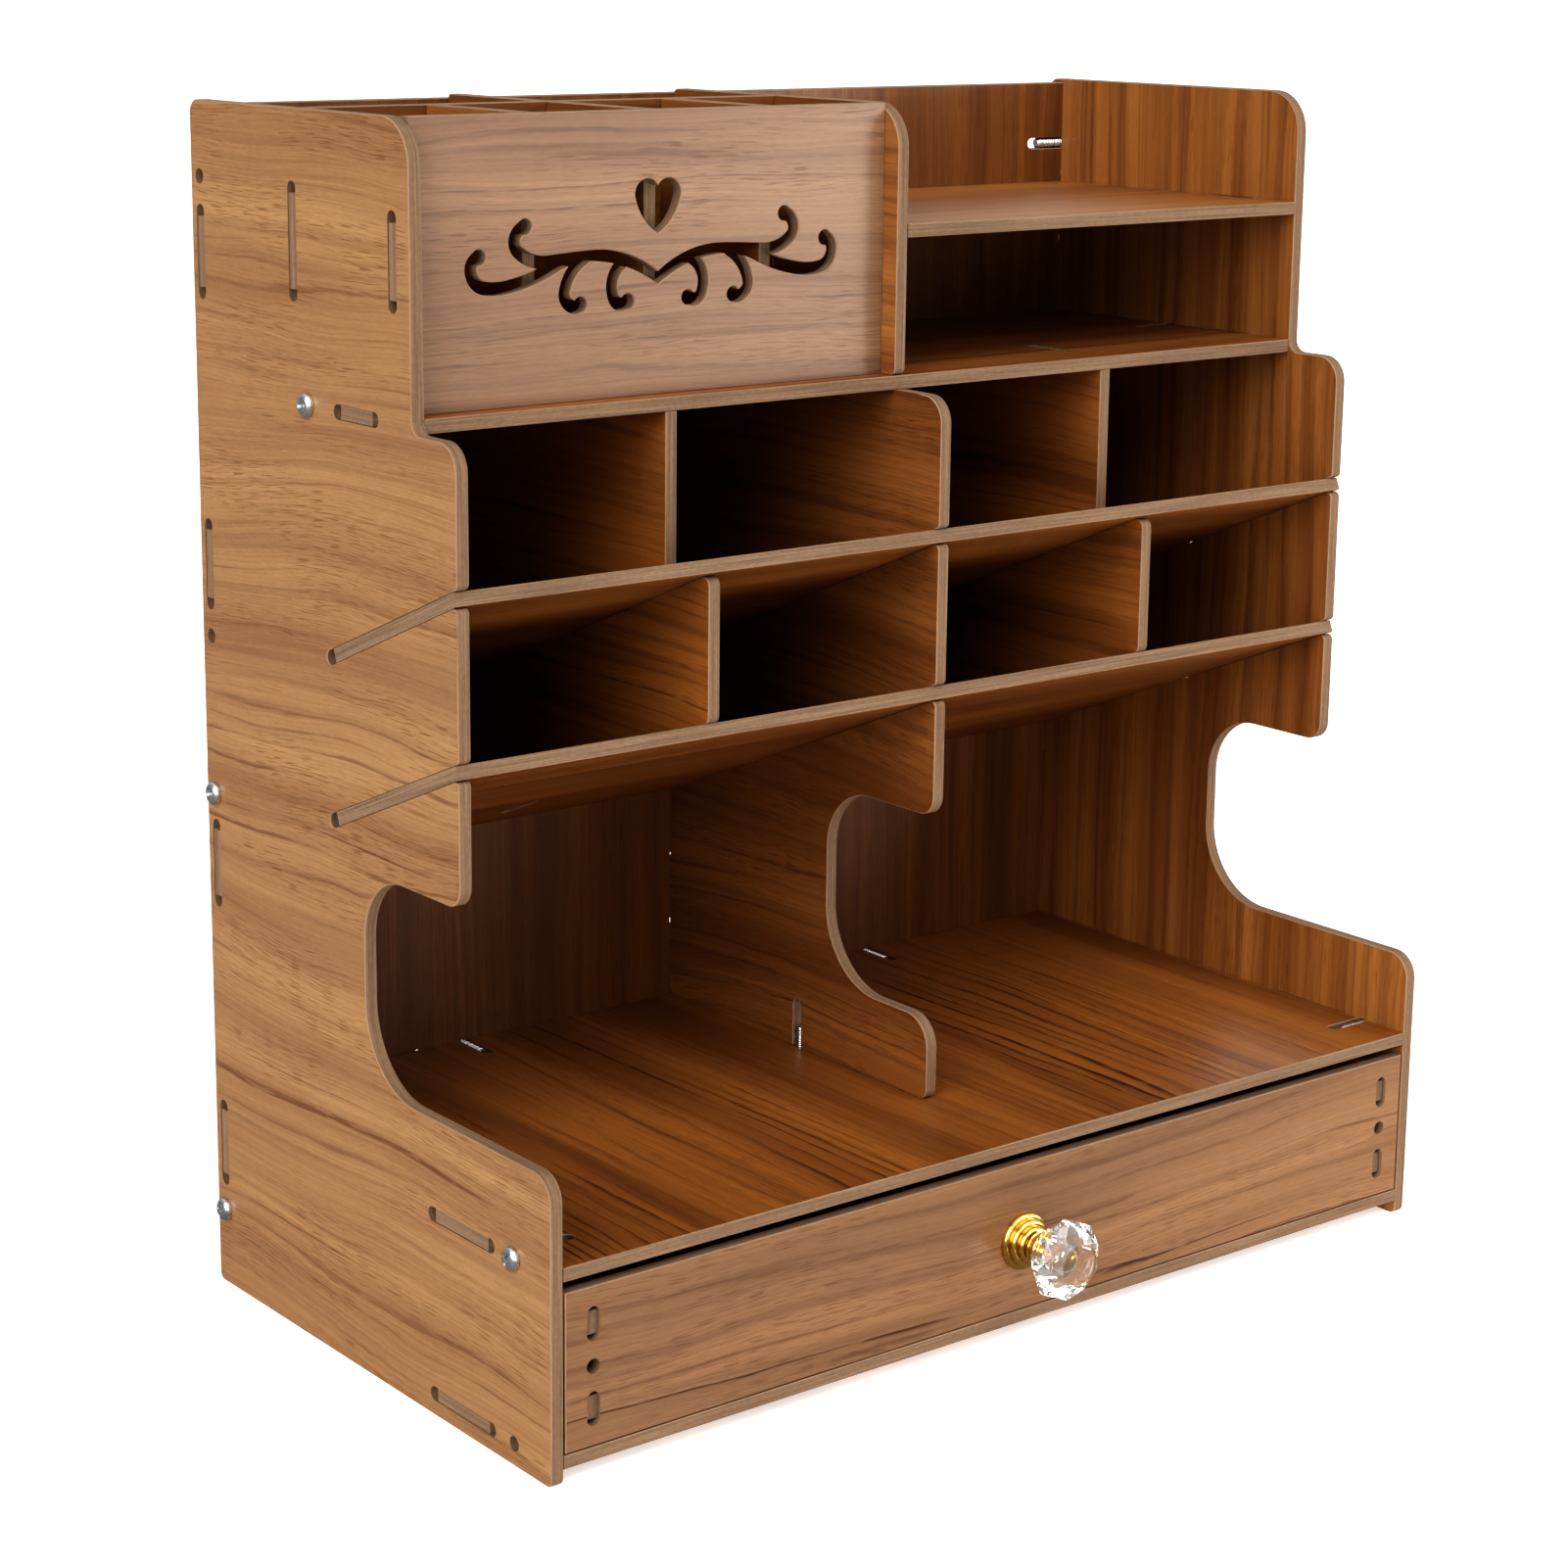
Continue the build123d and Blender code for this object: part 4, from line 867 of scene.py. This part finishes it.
def paleFloor():
    # white paper; the boards' sheen mirrors it dimmer than the eye sees it
    material, tree, shader = newMaterial("palePaper")
    place = addNode(tree, "ShaderNodeTexCoord")
    mottle = addNode(tree, "ShaderNodeTexNoise", {"Scale": stageLook["mottle"]},
                     {"Vector": place.outputs["Object"]})
    colour = addNode(tree, "ShaderNodeValToRGB", {
        "stops": list(zip(stageLook["floorRange"], map(linearColour, stageLook["floorTones"])))},
        {0: mottle.outputs[0]})
    rays = addNode(tree, "ShaderNodeLightPath").outputs
    paper = addNode(tree, "ShaderNodeMix", {"data_type": "RGBA", 7: linearColour(stageLook["floorMirrored"])},
                    {0: rays["Is Glossy Ray"], 6: colour.outputs[0]})
    plain = addNode(tree, "ShaderNodeMath", {"operation": "SUBTRACT", 0: 1.0}, {1: rays["Is Glossy Ray"]})
    seen = addNode(tree, "ShaderNodeMath", {"operation": "MULTIPLY", 1: stageLook["floorGlow"]},
                   {0: plain.outputs[0]})
    shader.inputs["Roughness"].default_value = stageLook["floorRoughness"]
    shader.inputs["Emission Color"].default_value = (1, 1, 1, 1)
    tree.links.new(paper.outputs[2], shader.inputs["Base Color"])
    tree.links.new(seen.outputs[0], shader.inputs["Emission Strength"])
    sheet = bmesh.new()
    bmesh.ops.create_grid(sheet, x_segments=1, y_segments=1, size=stageLook["floorSize"] / 2)
    floor = looseObject("floor", sheet)
    floor.data.materials.append(material)


paleFloor()

# White backdrop and a dim fill; what metal mirrors and crystal lets through is brightest at the front right
world = bpy.data.worlds.new("studio")
bpy.context.scene.world = world
world.use_nodes = True
world.node_tree.nodes.clear()
rays = addNode(world.node_tree, "ShaderNodeLightPath").outputs
gaze = addNode(world.node_tree, "ShaderNodeTexCoord")
facing = addNode(world.node_tree, "ShaderNodeVectorMath", {
    "operation": "DOT_PRODUCT", 1: Vector(stageLook["brightTowards"]).normalized()},
    {0: gaze.outputs["Generated"]})
glow = addNode(world.node_tree, "ShaderNodeValue")
glow.outputs[0].default_value = stageLook["ambient"]
for rayKind, (dimmest, brightest) in (("Is Glossy Ray", stageLook["mirrored"]),
                                      ("Is Transmission Ray", stageLook["seenThrough"]),
                                      ("Is Camera Ray", (stageLook["backdrop"], stageLook["backdrop"]))):
    level = addNode(world.node_tree, "ShaderNodeMapRange", {1: -1.0, 2: 1.0, 3: dimmest, 4: brightest},
                    {0: facing.outputs["Value"]})
    glow = addNode(world.node_tree, "ShaderNodeMix", {"data_type": "FLOAT"},
                   {0: rays[rayKind], 2: glow.outputs[0], 3: level.outputs[0]})
sky = addNode(world.node_tree, "ShaderNodeBackground", {"Color": (1, 1, 1, 1)}, {"Strength": glow.outputs[0]})
addNode(world.node_tree, "ShaderNodeOutputWorld", links={"Surface": sky.outputs[0]})

# Two wide suns stand for the soft boxes: the way towards each, its strength and how wide it looks in degrees.
# A white card at the front right gives the boards their sheen: its middle in mm, its size and its strength
softBoxes = {
    "left": {"towards": (-0.83, -0.34, 0.46), "strength": 2.5, "width": 50},
    "frontTop": {"towards": (0.15, -0.52, 0.84), "strength": 1.3, "width": 50},
    "card": {"towards": (0.78, -0.62, -0.05), "strength": 6.0, "at": (1250, -1000, 240), "size": (0.7, 0.45)},
}
for name, box in softBoxes.items():
    lamp = bpy.data.lights.new(name, "AREA" if "at" in box else "SUN")
    lamp.energy = box["strength"]
    if "at" in box:
        lamp.shape = "RECTANGLE"
        lamp.size, lamp.size_y = box["size"]
    else:
        lamp.angle = math.radians(box["width"])
    holder = bpy.data.objects.new(name, lamp)
    bpy.context.scene.collection.objects.link(holder)
    holder.matrix_world = Matrix.Translation(Vector(box.get("at", (0, 0, 0))) * mm) \
        @ Vector(box["towards"]).to_track_quat("Z", "Y").to_matrix().to_4x4()

# Camera as the photograph was taken: millimetres and degrees, focal length and centre in its pixels
photoView = {"at": (-638.1, -765.5, 408.15), "yaw": 37.83, "pitch": 12.57, "roll": 0.53,
             "focal": 3405.25, "centre": (765.74, 697.55), "frame": 1601, "sensor": 36.0}
yaw, pitch, roll = [math.radians(photoView[key]) for key in ("yaw", "pitch", "roll")]
forward = Vector((math.sin(yaw) * math.cos(pitch), math.cos(yaw) * math.cos(pitch), -math.sin(pitch)))
right = forward.cross(Vector((0, 0, 1))).normalized()
upward = right.cross(forward)
rightRolled = right * math.cos(roll) + upward * math.sin(roll)
upRolled = upward * math.cos(roll) - right * math.sin(roll)
lens = bpy.data.cameras.new("camera")
lens.sensor_width = photoView["sensor"]
lens.lens = photoView["focal"] / photoView["frame"] * photoView["sensor"]
lens.shift_x = 0.5 - photoView["centre"][0] / photoView["frame"]
lens.shift_y = photoView["centre"][1] / photoView["frame"] - 0.5
camera = bpy.data.objects.new("camera", lens)
bpy.context.scene.collection.objects.link(camera)
camera.matrix_world = Matrix.Translation(Vector(photoView["at"]) * mm) \
    @ Matrix((rightRolled, upRolled, -forward)).transposed().to_4x4()
bpy.context.scene.camera = camera

# The cut crystal sends light round inside it many times
lightBounces = {"max_bounces": 24, "glossy_bounces": 16, "transmission_bounces": 24}
for limit, bounces in lightBounces.items():
    setattr(bpy.context.scene.cycles, limit, bounces)
bpy.context.scene.view_settings.view_transform = "Standard"
bpy.context.scene.view_settings.look = "High Contrast"
print("stage set")
